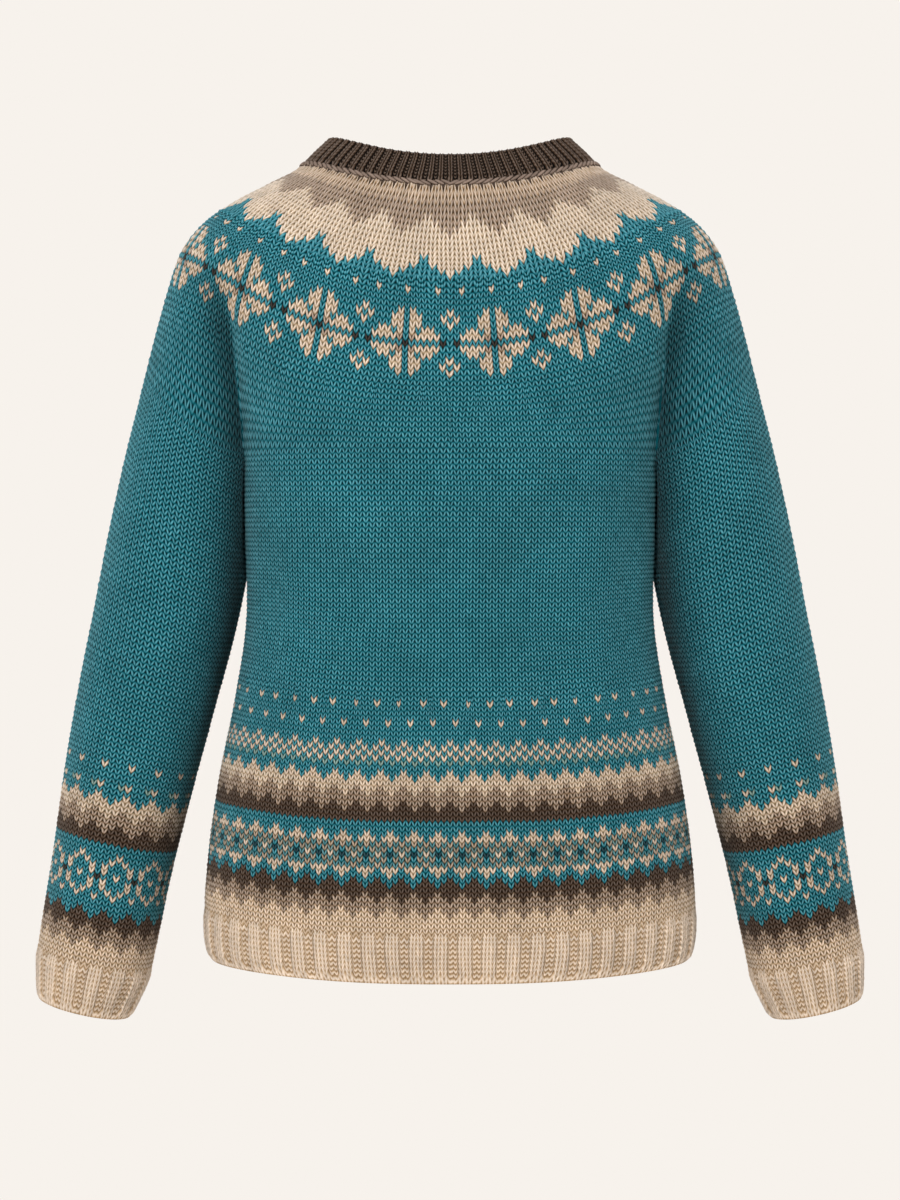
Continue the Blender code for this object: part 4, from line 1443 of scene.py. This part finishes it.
class YokeKnit(Knitting):
    """The round yoke: teeth, stars and plain chest, with more stitches in each."""

    ROWS = (0.0, 4.0, 8.0, 16.0, 22.0, 27.5, 33.0, 47.0)
    BACK_LEVELS = (0.0, 0.150, 0.262, 0.430, 0.548, 0.668, 0.776, 1.0)
    FRONT_LEVELS = (0.0, 0.095, 0.190, 0.375, 0.480, 0.582, 0.690, 1.0)
    SIDE_LEVELS = (0.0, 0.105, 0.190, 0.370, 0.474, 0.642, 0.742, SLEEVE_TOP_LEVEL)
    INNER_STEP = 2             # closer, so that the inside keeps clear of the knit round the crease
    INNER_CREASE = 0.0035

    def _levels(self, rows: Array, shares: Array) -> Array:
        """The level of a row: a back or front curve and a side curve, mixed by a full turn's cubed sine.

        Near the yoke's lower end the mix follows the end line itself, which is highest over the
        middle of a sleeve.
        """
        middle = np.where(np.abs(shares % 1.0 - 0.5) < 0.25, smooth_curve(rows, self.ROWS, self.FRONT_LEVELS),
                          smooth_curve(rows, self.ROWS, self.BACK_LEVELS))
        side = smooth_curve(rows, self.ROWS, self.SIDE_LEVELS)
        wide = np.abs(np.sin(2 * np.pi * shares)) ** 3
        end = (UNDERARM_LEVEL - yoke_end(shares)) / (UNDERARM_LEVEL - SLEEVE_TOP_LEVEL)
        low = smooth_step((rows - self.ROWS[5]) / (self.total - self.ROWS[5]))
        return middle + (side - middle) * (wide * (1 - low) + end * low)

    def place(self, number: int, rows: Array, wales: Array) -> tuple[Array, Array]:
        """Stitches lie evenly round, and gather towards the pieces below near the end."""
        zone = self.zones[number]
        shares = self.settled(number, rows, wales)
        rows = np.broadcast_to(rows, shares.shape)
        if number == 2:
            half = zone.wales / 2
            at = (0.0, BACK_WALES, BACK_WALES + SLEEVE_OUTER_WALES, half)
            end = by_half(wales, zone.wales, at, (0.0, CREASE_BACK, CREASE_FRONT, 0.5))
            t = smooth_step((rows - self.above[number]) / zone.rows)
            shares = mixed(shares, end, t)
        return self._levels(rows, shares), shares


class BodyKnit(Knitting):
    """One half of the body, back or front."""

    ROWS = (0.0, 10.0, 21.0, 34.0, 48.0, 96.0)
    DROPS = (UNDERARM_DROP, 0.2563, 0.2972, 0.3425, 0.3913, HEM_BAND_TOP)

    def __init__(self, cloth: Cloth, zones: list[Zone], seed: int, meets: Edge, front: bool) -> None:
        """Keep which half it is."""
        super().__init__(cloth, zones, seed, meets)
        self.front = front

    def line_range(self, zone: Zone) -> tuple[Array, bool]:
        """From one side seam to the other: the back's lines start at the right side."""
        quarter_lines = zone.wales * LINES_PER_WALE // 4
        start = quarter_lines if self.front else -quarter_lines
        return np.arange(start, start + 2 * quarter_lines + 1), False

    def place(self, number: int, rows: Array, wales: Array) -> tuple[Array, Array]:
        """Rows are a little taller at the chest; stitches lie evenly but for the graft's ends."""
        drop = smooth_curve(rows, self.ROWS, self.DROPS)
        share = self.settled(number, rows, wales)
        if number == 0:
            at = (0.0, BACK_WALES, BODY_WALES / 4, BACK_WALES + GRAFT_WALES, BODY_WALES / 2)
            shaped = by_half(wales, BODY_WALES, at, (0.0, GRAFT_BACK, 0.25, GRAFT_FRONT, 0.5))
            t = smooth_step(rows / PLAIN_BODY_ROWS)
            share = mixed(shaped, share, t)
        bowed = smooth_step((rows - self.ROWS[1]) / (self.ROWS[-2] - self.ROWS[1]))
        return drop + bow(share) * bowed, share

    def carried(self, number: int, wales: Array) -> Array:
        """The first zone meets the yoke, which has the sleeves' outer wales for the graft's."""
        if number > 0:
            return super().carried(number, wales)
        turned, fold = folded(wales, BODY_WALES)
        on_yoke = np.where(fold <= BODY_WALES / 4, fold, fold + SLEEVE_OUTER_WALES - GRAFT_WALES)
        return np.where(turned <= BODY_WALES / 2, on_yoke, CHEST_WALES - on_yoke)

    def meeting(self, lines: Array) -> Array:
        """The graft's points meet the sleeve and not the yoke."""
        fold = folded(lines / LINES_PER_WALE, BODY_WALES)[1]
        return (fold <= BACK_WALES) | (fold >= BACK_WALES + GRAFT_WALES)


class HemKnit(Knitting):
    """The ribbed band below the body."""

    def place(self, number: int, rows: Array, wales: Array) -> tuple[Array, Array]:
        """Rows run evenly to the hem's edge, which rises at the sides by the cubed sine of a full turn."""
        share = spread_ribs(wales) / self.zones[number].wales
        down = rows / self.total
        edge = HEM_EDGE - EDGE_RISE * np.abs(np.sin(2 * np.pi * share)) ** 3
        return (HEM_BAND_TOP + bow(share)) * (1 - down) + edge * down, share


class SleeveKnit(Knitting):
    """The left sleeve, with fewer stitches towards the cuff, dropped along the underarm."""

    DROPPED = 3                # wales on each side of the underarm line among which some end
    UNDERARM = 0.12            # share either side of the underarm line where stitches are dropped
    EVEN_ROWS = 16.0           # rows below the graft until the wales lie evenly

    def place(self, number: int, rows: Array, wales: Array) -> tuple[Array, Array]:
        """Stitches keep even wales on the outer side, and crowd a little at the underarm.

        The even pitch is one part of a count that falls evenly from the first zone's to the
        last one's; what is over at the underarm is squeezed into its last stretch.
        """
        zone = self.zones[number]
        counts = [z.wales for z in self.zones]
        count = np.interp(rows, self.above[:-1], counts)
        turned = np.mod(wales, zone.wales) - zone.wales / 2
        away = np.abs(turned) / count
        most = zone.wales / 2 / count
        start = 0.5 - self.UNDERARM
        squeezed = start + (away - start) * self.UNDERARM / np.maximum(most - start, 1e-6)
        away = np.where(away > start, squeezed, away)
        even = 0.5 + np.sign(turned) * away
        at = (0.0, GRAFT_WALES / 2, zone.wales / 2)
        total = self.zones[0].wales
        shaped = by_half(np.mod(wales, total), total, at, (0.0, SLEEVE_BACK, 0.5))
        fade = smooth_step(rows / self.EVEN_ROWS) if number == 0 else 1.0
        return rows / self.total, mixed(shaped, even, fade)

    def carried(self, number: int, wales: Array) -> Array:
        """The first zone meets the yoke's outer wales; below, wales run on but at the underarm."""
        if number == 0:
            return wales - GRAFT_WALES / 2 + BACK_WALES
        half, above = self.zones[number].wales / 2, self.zones[number - 1].wales / 2
        turned = np.mod(wales, 2 * half) - half
        away = np.interp(np.abs(turned), (0.0, half - self.DROPPED, half), (0.0, half - self.DROPPED, above))
        turns = np.floor(wales / (2 * half))
        return np.sign(turned) * away + above + turns * 2 * above

    def meeting(self, lines: Array) -> Array:
        """The graft's points meet the body and not the yoke."""
        start = GRAFT_WALES / 2
        wales = lines / LINES_PER_WALE
        return (wales >= start) & (wales <= start + SLEEVE_OUTER_WALES)


class CuffKnit(Knitting):
    """The left cuff's ribs."""

    def place(self, number: int, rows: Array, wales: Array) -> tuple[Array, Array]:
        """Rows run evenly to the cuff's edge."""
        drop = CUFF_TOP + (CUFF_EDGE - CUFF_TOP) * rows / self.total
        return drop, spread_ribs(wales) / self.zones[number].wales


# ---------------------------------------------------------------- wool, with painted light and shade

@dataclass(frozen=True)
class WoolAndPaintedLight:
    """Dyed wool, with fibres, plies, and painted light and shade on its stitches."""

    slot: str
    # Painted light and shade: the valley is painted shade, the crown a painted highlight.
    valley: float = 0.03         # brightness at the bottom between two strands
    pale_power: float = 0.50     # light gathers between pale strands: the power it is raised to
    crown: float = 1.16          # brightness on top of a strand
    heather: float = 0.10        # how much the dye varies over a hand's breadth
    fuzz: float = 0.16           # how much single fibres vary
    heather_scale: float = 26.0  # patches of it to a metre
    fibre_scale: float = 1500.0  # fibres to a metre
    ply_scale: float = 1.1       # how close the plies' stripes are along a strand
    ply_wobble: float = 0.6
    bump_strength: float = 0.55
    bump_height: float = 0.00030
    roughness: float = 0.86
    rough_spread: float = 0.08
    specular: float = 0.12
    sheen: float = 0.05
    sheen_roughness: float = 0.45
    sheen_tint: tuple[float, float, float] = (0.92, 0.88, 0.82)

    def material(self) -> bpy.types.Material:
        """Build the node tree.

        Returns:
            The material, named after its slot.
        """
        made = bpy.data.materials.new(self.slot)
        made.use_nodes = True
        tree = made.node_tree
        shader = tree.nodes["Principled BSDF"]
        link = tree.links.new

        def fill(target: bpy.types.Node, **values: object) -> None:
            """Set a node's sockets by their names, with underscores for spaces."""
            for name, value in values.items():
                target.inputs[name.replace("_", " ")].default_value = value

        def node(kind: str, **values: object) -> bpy.types.Node:
            """A new node with some of its properties set."""
            new = tree.nodes.new(kind)
            for name, value in values.items():
                setattr(new, name, value)
            return new

        def ranged(source: bpy.types.NodeSocket, low: float, high: float, to_low: float,
                   to_high: float, smooth: bool = False) -> bpy.types.NodeSocket:
            """A value moved from one range to another, and kept within it."""
            new = node("ShaderNodeMapRange", interpolation_type="SMOOTHSTEP" if smooth else "LINEAR")
            fill(new, From_Min=low, From_Max=high, To_Min=to_low, To_Max=to_high)
            link(source, new.inputs["Value"])
            return new.outputs["Result"]

        def combined(operation: str, one: bpy.types.NodeSocket,
                     two: bpy.types.NodeSocket) -> bpy.types.NodeSocket:
            """Two values put together by a sum, a product or a power."""
            new = node("ShaderNodeMath", operation=operation)
            link(one, new.inputs[0])
            link(two, new.inputs[1])
            return new.outputs[0]

        def noise(scale: float, detail: float) -> bpy.types.NodeSocket:
            """Soft noise fixed to the piece."""
            new = node("ShaderNodeTexNoise")
            fill(new, Scale=scale, Detail=detail)
            link(place.outputs["Object"], new.inputs["Vector"])
            return new.outputs["Fac"]

        fill(shader, Metallic=0.0, Specular_IOR_Level=self.specular, Sheen_Weight=self.sheen,
             Sheen_Roughness=self.sheen_roughness, Sheen_Tint=(*self.sheen_tint, 1.0))
        place = node("ShaderNodeTexCoord")
        dye = node("ShaderNodeAttribute", attribute_name="DyeWithPaintedLight")
        depth = node("ShaderNodeAttribute", attribute_name="Depth")
        strand = node("ShaderNodeUVMap", uv_map="Strand")
        plies = node("ShaderNodeTexWave", wave_type="BANDS", bands_direction="DIAGONAL")
        fill(plies, Scale=self.ply_scale, Distortion=self.ply_wobble)
        link(strand.outputs["UV"], plies.inputs["Vector"])
        fibres = noise(self.fibre_scale, 3.0)
        grey = node("ShaderNodeRGBToBW")
        link(dye.outputs["Color"], grey.inputs["Color"])
        # Painted light and shade: lit on a strand's top, shaded between strands, less so on pale dyes
        light = ranged(depth.outputs["Fac"], -0.75, 1.0, self.valley, self.crown, smooth=True)
        light = combined("POWER", light, ranged(grey.outputs["Val"], 0.28, 0.70, 1.0, self.pale_power))
        for part in (ranged(noise(self.heather_scale, 2.0), 0.25, 0.75, 1 - self.heather, 1 + self.heather),
                     ranged(fibres, 0.25, 0.75, 1 - self.fuzz, 1 + self.fuzz),
                     ranged(plies.outputs["Fac"], 0.0, 1.0, 0.90, 1.06)):
            light = combined("MULTIPLY", light, part)
        tone = node("ShaderNodeHueSaturation")
        link(dye.outputs["Color"], tone.inputs["Color"])
        link(light, tone.inputs["Value"])
        own = node("ShaderNodeSeparateColor", mode="HSV")
        link(dye.outputs["Color"], own.inputs["Color"])
        # Painted shade between strands is richer in colour, most of all on pale dyes
        richer = combined("MULTIPLY", ranged(depth.outputs["Fac"], -0.3, 0.45, 1.0, 0.0),
                          ranged(own.outputs[1], 0.32, 0.80, 1.00, 0.36))
        link(ranged(richer, 0.0, 2.0, 0.95, 2.95), tone.inputs["Saturation"])
        link(tone.outputs["Color"], shader.inputs["Base Color"])
        link(ranged(fibres, 0.2, 0.8, self.roughness - self.rough_spread,
                    self.roughness + self.rough_spread), shader.inputs["Roughness"])
        bump = node("ShaderNodeBump")
        fill(bump, Strength=self.bump_strength, Distance=self.bump_height)
        link(combined("ADD", ranged(plies.outputs["Fac"], 0.0, 1.0, 0.0, 0.7), fibres),
             bump.inputs["Height"])
        link(bump.outputs["Normal"], shader.inputs["Normal"])
        return made


PALE_RIB = WoolAndPaintedLight("pale_rib", valley=0.12, crown=1.08)


def dress(piece: bpy.types.Object, finish: WoolAndPaintedLight, *nodes: str) -> None:
    """Give a piece its wool, its body and the solids that it stands for.

    Args:
        piece: The piece's object.
        finish: Its wool, with its painted light and shade.
        nodes: Names of the solids, none where it only rides with them.
    """
    piece.data.materials.append(finish.material())
    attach(piece, BODY)
    if nodes:
        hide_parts(*nodes)
    piece.data.calc_loop_triangles()
    areas = np.empty(len(piece.data.polygons), dtype=np.float32)
    piece.data.polygons.foreach_get("area", areas)
    log.info("%s: %d triangles, %.3f square metres a side", piece.name,
             len(piece.data.loop_triangles), areas.sum() / 2)


# ---------------------------------------------------------------- sub-assemblies

@dataclass
class Neckband:
    """The dark ribbed neckband and the chain of strands along its seam."""

    form: GarmentForm
    finish: WoolAndPaintedLight = WoolAndPaintedLight("dark_rib", valley=0.0, crown=1.30, sheen=0.03)
    flat: tuple[float, float] = (0.60, 0.034)
    seam_girth: float = 0.613
    strand_count: int = 116
    strand_length: float = 0.0090
    strand_thick: float = 0.0024
    strand_flat: tuple[float, float] = (1.05, 0.9)   # how wide and how high, of its thickness
    strand_tilt: float = 0.0090      # in levels
    strand_level: float = 0.004      # a little below the seam
    strand_out: float = 0.0012       # how far its middle lies outside the knit's base
    strand_tip: float = 0.06         # thickness left at the very tips
    strand_points: tuple[int, int] = (8, 9)          # round and along
    # Painted highlight: the chain's strands are the dark wool made this much brighter.
    strand_bright: float = 1.55      # of the dark wool
    length_spread: float = 0.05
    level_spread: float = 0.001
    bright_spread: float = 0.12

    def make(self) -> None:
        """Knit the band, lay the chain, and dress both."""
        zone = Zone.charted(NECK_WALES, plain(NECKBAND_ROWS, "d"), (Stitch.NECK_KNIT, Stitch.NECK_PURL),
                            straight_top=True, straight_bottom=True)
        band = NeckbandKnit(self.form.rings, [zone], Seed.NECKBAND).knit().build("neckband_knit")
        dress(band, self.finish, "neckband")
        dress(self._chain(), self.finish)

    def _chain(self) -> bpy.types.Object:
        """Short plump strands along the seam, each a tilted spindle, turned over at the middles.

        A spindle's radius is half its thickness times one less its place squared, to the power 0.4.
        """
        around, along = self.strand_points
        t = np.linspace(-1.0, 1.0, along)
        turn = np.arange(around) / around * 2 * np.pi
        shell = Shell()
        ends = np.sqrt(np.clip(1.0 - t ** 2, 0.0, 1.0)) ** 0.8
        ends[[0, -1]] = self.strand_tip
        rng = np.random.default_rng(Seed.CHAIN)
        for k in range(self.strand_count):
            share = (k + 0.5) / self.strand_count
            lean = -1.0 if share < 0.5 else 1.0
            step = self.strand_length / self.seam_girth / 2 * (1.0 + rng.normal(0.0, self.length_spread))
            level = self.strand_level + lean * self.strand_tilt * t + rng.normal(0.0, self.level_spread)
            middle, normal, _ = self.form.rings.read(level, share + step * t)
            run = np.gradient(middle, axis=0)
            run /= np.linalg.norm(run, axis=-1, keepdims=True)
            side = np.cross(normal, run)
            radius = (ends * self.strand_thick / 2)[:, None, None]
            circle = (np.cos(turn)[None, :, None] * side[:, None] * self.strand_flat[0]
                      + np.sin(turn)[None, :, None] * normal[:, None] * self.strand_flat[1])
            points = middle[:, None] + normal[:, None] * self.strand_out + circle * radius
            # Painted light and shade: a strand looks high on its outer side, low against the knit, less so at
            # its tips.
            depth = np.sin(turn)[None, :] * (0.2 + 0.8 * ends[:, None])
            index = shell.add_points(points, depth)
            u = (k + np.linspace(0.04, 0.96, around + 1)) / self.strand_count
            bright = self.strand_bright + rng.normal(0.0, self.bright_spread)
            colour = np.array(Shade.DARK.value[1]) * bright
            shell.add_grid(index, u, np.linspace(0.0, 1.0, along), colour)
            for row, v, order in ((index[0], 0.0, 1), (index[-1], 1.0, -1)):
                cap = np.stack([u[:-1], np.full(around, v)], axis=-1)[None]
                shell.add_faces(row[None, ::-order], cap[:, ::-order], colour)
        return shell.build("neck_seam_chain")


@dataclass
class Yoke:
    """The patterned round yoke."""

    form: GarmentForm
    finish: WoolAndPaintedLight = WoolAndPaintedLight("patterned_yoke")
    flat: tuple[float, float] = (1.20, 0.24)
    area: float = 0.240
    edge: Edge = field(init=False)

    def make(self) -> None:
        """Knit the yoke and keep its lower edge, which body and sleeves meet."""
        zones = [
            Zone.charted(TOOTH_WALES, NECK_CHART, (Stitch.LONG_KNIT,), straight_top=True),
            Zone.charted(STAR_WALES, STAR_CHART),
            Zone.charted(CHEST_WALES, plain(CHEST_ROWS)),
        ]
        knitting = YokeKnit(self.form.rings, zones, Seed.YOKE)
        piece = knitting.knit().build("yoke_knit")
        self.edge = knitting.edge
        dress(piece, self.finish, "yoke")


@dataclass
class Body:
    """The body's back and front, and the hem band."""

    form: GarmentForm
    yoke_edge: Edge
    finish: WoolAndPaintedLight = WoolAndPaintedLight("patterned_body")
    rib_finish: WoolAndPaintedLight = PALE_RIB
    flat: tuple[float, float] = (0.440, 0.350)
    hem_flat: tuple[float, float] = (0.90, 0.039)

    def make(self) -> None:
        """Knit and dress both halves and the band."""
        zones = [Zone.charted(BODY_WALES, plain(PLAIN_BODY_ROWS)),
                 Zone.charted(BAND_WALES, BODY_BANDS[::-1])]
        edges = []
        for name, front, seed in (("back", False, Seed.BODY_BACK), ("front", True, Seed.BODY_FRONT)):
            knitting = BodyKnit(self.form.body, zones, seed, self.yoke_edge, front)
            piece = knitting.knit().build(f"body_{name}_knit")
            edges.append(knitting.edge)
            dress(piece, self.finish, f"body_{name}")
        around = Edge(*(np.concatenate([getattr(edges[0], part), getattr(edges[1], part)[1:-1]])
                        for part in ("wales", "points", "depth")), BAND_WALES)
        rib = Zone.charted(BAND_WALES, plain(HEM_ROWS, "b"), RIB_PATTERN, straight_bottom=True)
        hem = HemKnit(self.form.body, [rib], Seed.HEM, around).knit().build("hem_band_knit")
        dress(hem, self.rib_finish, "hem_band")


@dataclass
class Sleeves:
    """Both sleeves and their cuffs: the right ones are the left ones turned over."""

    form: GarmentForm
    yoke_edge: Edge
    finish: WoolAndPaintedLight = WoolAndPaintedLight("patterned_sleeve")
    rib_finish: WoolAndPaintedLight = PALE_RIB
    flat: tuple[float, float] = (0.370, 0.460)
    area: float = 0.145
    cuff_flat: tuple[float, float] = (0.285, 0.040)
    zigzag_start: int = 2
    ring_start: int = 1

    def _zones(self) -> list[Zone]:
        """The sleeve's zones from the top, with all the bands in the last one."""
        wales = np.arange(SLEEVE_WALES[-1])
        bands = [Chart(rows[::-1], start).shades(wales) for rows, start in (
            (SLEEVE_UPPER_BANDS, self.zigzag_start), (RING_ROWS, self.ring_start),
            (FOOT_ROWS + plain(2), self.zigzag_start))]
        zones = [Zone.charted(count, plain(rows)) for count, rows in zip(SLEEVE_WALES, SLEEVE_ROWS)]
        return zones + [Zone(SLEEVE_WALES[-1], np.concatenate(bands))]

    def make(self) -> None:
        """Knit the left ones, and build each twice."""
        knitting = SleeveKnit(self.form.sleeve, self._zones(), Seed.SLEEVE, self.yoke_edge)
        sleeve = knitting.knit()
        rib = Zone.charted(CUFF_WALES, plain(CUFF_ROWS, "b"), RIB_PATTERN, straight_bottom=True)
        cuff = CuffKnit(self.form.cuff, [rib], Seed.CUFF, knitting.edge).knit()
        for side, mirror in (("left", False), ("right", True)):
            piece = sleeve.build(f"sleeve_{side}_knit", mirror)
            dress(piece, self.finish, f"sleeve_{side}")
            end = cuff.build(f"cuff_{side}_knit", mirror)
            dress(end, self.rib_finish, f"cuff_{side}")


def show_paper(tree: bpy.types.NodeTree, lit: bpy.types.NodeSocket, kind: str, output: str) -> None:
    """Let the camera see evenly lit paper in place of a shader that lights the garment.

    Args:
        tree: The material's or the room's nodes.
        lit: The shader that everything but the camera sees.
        kind: The kind of node that glows evenly there.
        output: The name of the output node.
    """
    seen = tree.nodes.new(kind)
    seen.inputs["Color"].default_value = (*PAPER, 1.0)
    path = tree.nodes.new("ShaderNodeLightPath")
    mix = tree.nodes.new("ShaderNodeMixShader")
    tree.links.new(path.outputs["Is Camera Ray"], mix.inputs["Fac"])
    tree.links.new(lit, mix.inputs[1])
    tree.links.new(seen.outputs[0], mix.inputs[2])
    tree.links.new(mix.outputs["Shader"], tree.nodes[output].inputs["Surface"])


@dataclass
class Studio:
    """Camera, soft light, pale floor and backdrop."""

    distance: float = 1.9            # from the camera to the garment's middle
    eye_height: float = -0.2827
    lens: float = 75.0
    down_shift: float = -0.05
    floor_height: float = -0.95
    aim: tuple[float, float, float] = (0.0, 0.0, -0.3)           # where every light points
    room_colour: tuple[float, float, float] = (1.0, 0.985, 0.965)
    room_light: float = 0.20

    def make(self) -> None:
        """Set up everything that isn't part of the garment."""
        bpy.context.scene.view_settings.view_transform = "Standard"
        self._camera()
        self._backdrop()
        self._lights()

    def _camera(self) -> None:
        """A level camera behind the wearer, with the frame moved down a little."""
        data = bpy.data.cameras.new("camera")
        data.lens = self.lens
        data.sensor_width = 36.0
        data.shift_y = self.down_shift
        location = (0.0, -self.distance, self.eye_height)
        bpy.context.scene.camera = placed("camera", data, location, (np.pi / 2, 0.0, 0.0))

    def _backdrop(self) -> None:
        """A floor that curves up into a wall: a flat run, a quarter turn, and a straight rise."""
        half, run, bend, rise, steps = 6.0, 1.6, 1.4, 5.0, 25
        turn = np.linspace(0.0, np.pi / 2, steps)
        y = np.concatenate([[-half], run + bend * np.sin(turn), [run + bend]])
        z = np.concatenate([[0.0], bend * (1 - np.cos(turn)), [rise]]) + self.floor_height
        x = np.array([-half, half])
        points = np.stack(np.broadcast_arrays(x[None, :], y[:, None], z[:, None]), axis=-1)
        index = np.arange(len(y) * 2).reshape(-1, 2)
        faces = np.stack([index[:-1, 0], index[:-1, 1], index[1:, 1], index[1:, 0]], axis=-1)
        mesh = bpy.data.meshes.new("backdrop")
        mesh.from_pydata(points.reshape(-1, 3).tolist(), [], faces.tolist())
        mesh.shade_smooth()
        mesh.materials.append(self._paper())
        placed("backdrop", mesh)

    def _paper(self) -> bpy.types.Material:
        """Pale paper that the camera sees evenly lit, and that lights the garment as paper does."""
        paper = bpy.data.materials.new("backdrop_paper")
        paper.use_nodes = True
        tree = paper.node_tree
        shader = tree.nodes["Principled BSDF"]
        shader.inputs["Base Color"].default_value = (*PAPER, 1.0)
        shader.inputs["Roughness"].default_value = 1.0
        shader.inputs["Specular IOR Level"].default_value = 0.0
        show_paper(tree, shader.outputs["BSDF"], "ShaderNodeEmission", "Material Output")
        return paper

    def _lights(self) -> None:
        """A large soft key beside the camera, one at each side and above, and one for the front."""
        for name, place, size, power in (
                ("key", (-0.4, -3.0, 1.3), 1.5, 92.0),
                ("left", (-2.6, 0.5, 0.3), 1.6, 14.0),
                ("right", (2.6, 0.5, 0.3), 1.6, 16.0),
                ("top", (0.0, -0.2, 2.4), 1.6, 15.0),
                ("front", (0.4, 3.0, 1.2), 1.6, 64.0)):
            data = bpy.data.lights.new(name, "AREA")
            data.size = size
            data.energy = power
            aim = Vector(self.aim) - Vector(place)
            placed(name, data, place, aim.to_track_quat("-Z", "Y").to_euler())
        self._room()

    def _room(self) -> None:
        """A dim even room light, which the camera sees as pale paper."""
        world = bpy.data.worlds.new("soft_room")
        world.use_nodes = True
        tree = world.node_tree
        dim = tree.nodes["Background"]
        dim.inputs["Color"].default_value = (*self.room_colour, 1.0)
        dim.inputs["Strength"].default_value = self.room_light
        show_paper(tree, dim.outputs["Background"], "ShaderNodeBackground", "World Output")
        bpy.context.scene.world = world


def main() -> None:
    """Build the studio and every piece."""
    logging.basicConfig(level=logging.INFO, format="%(name)s: %(message)s")
    Studio().make()
    form = GarmentForm()
    log.info("surfaces ready")
    Neckband(form).make()
    yoke = Yoke(form)
    yoke.make()
    Body(form, yoke.edge).make()
    Sleeves(form, yoke.edge).make()


if __name__ == "__main__":
    main()
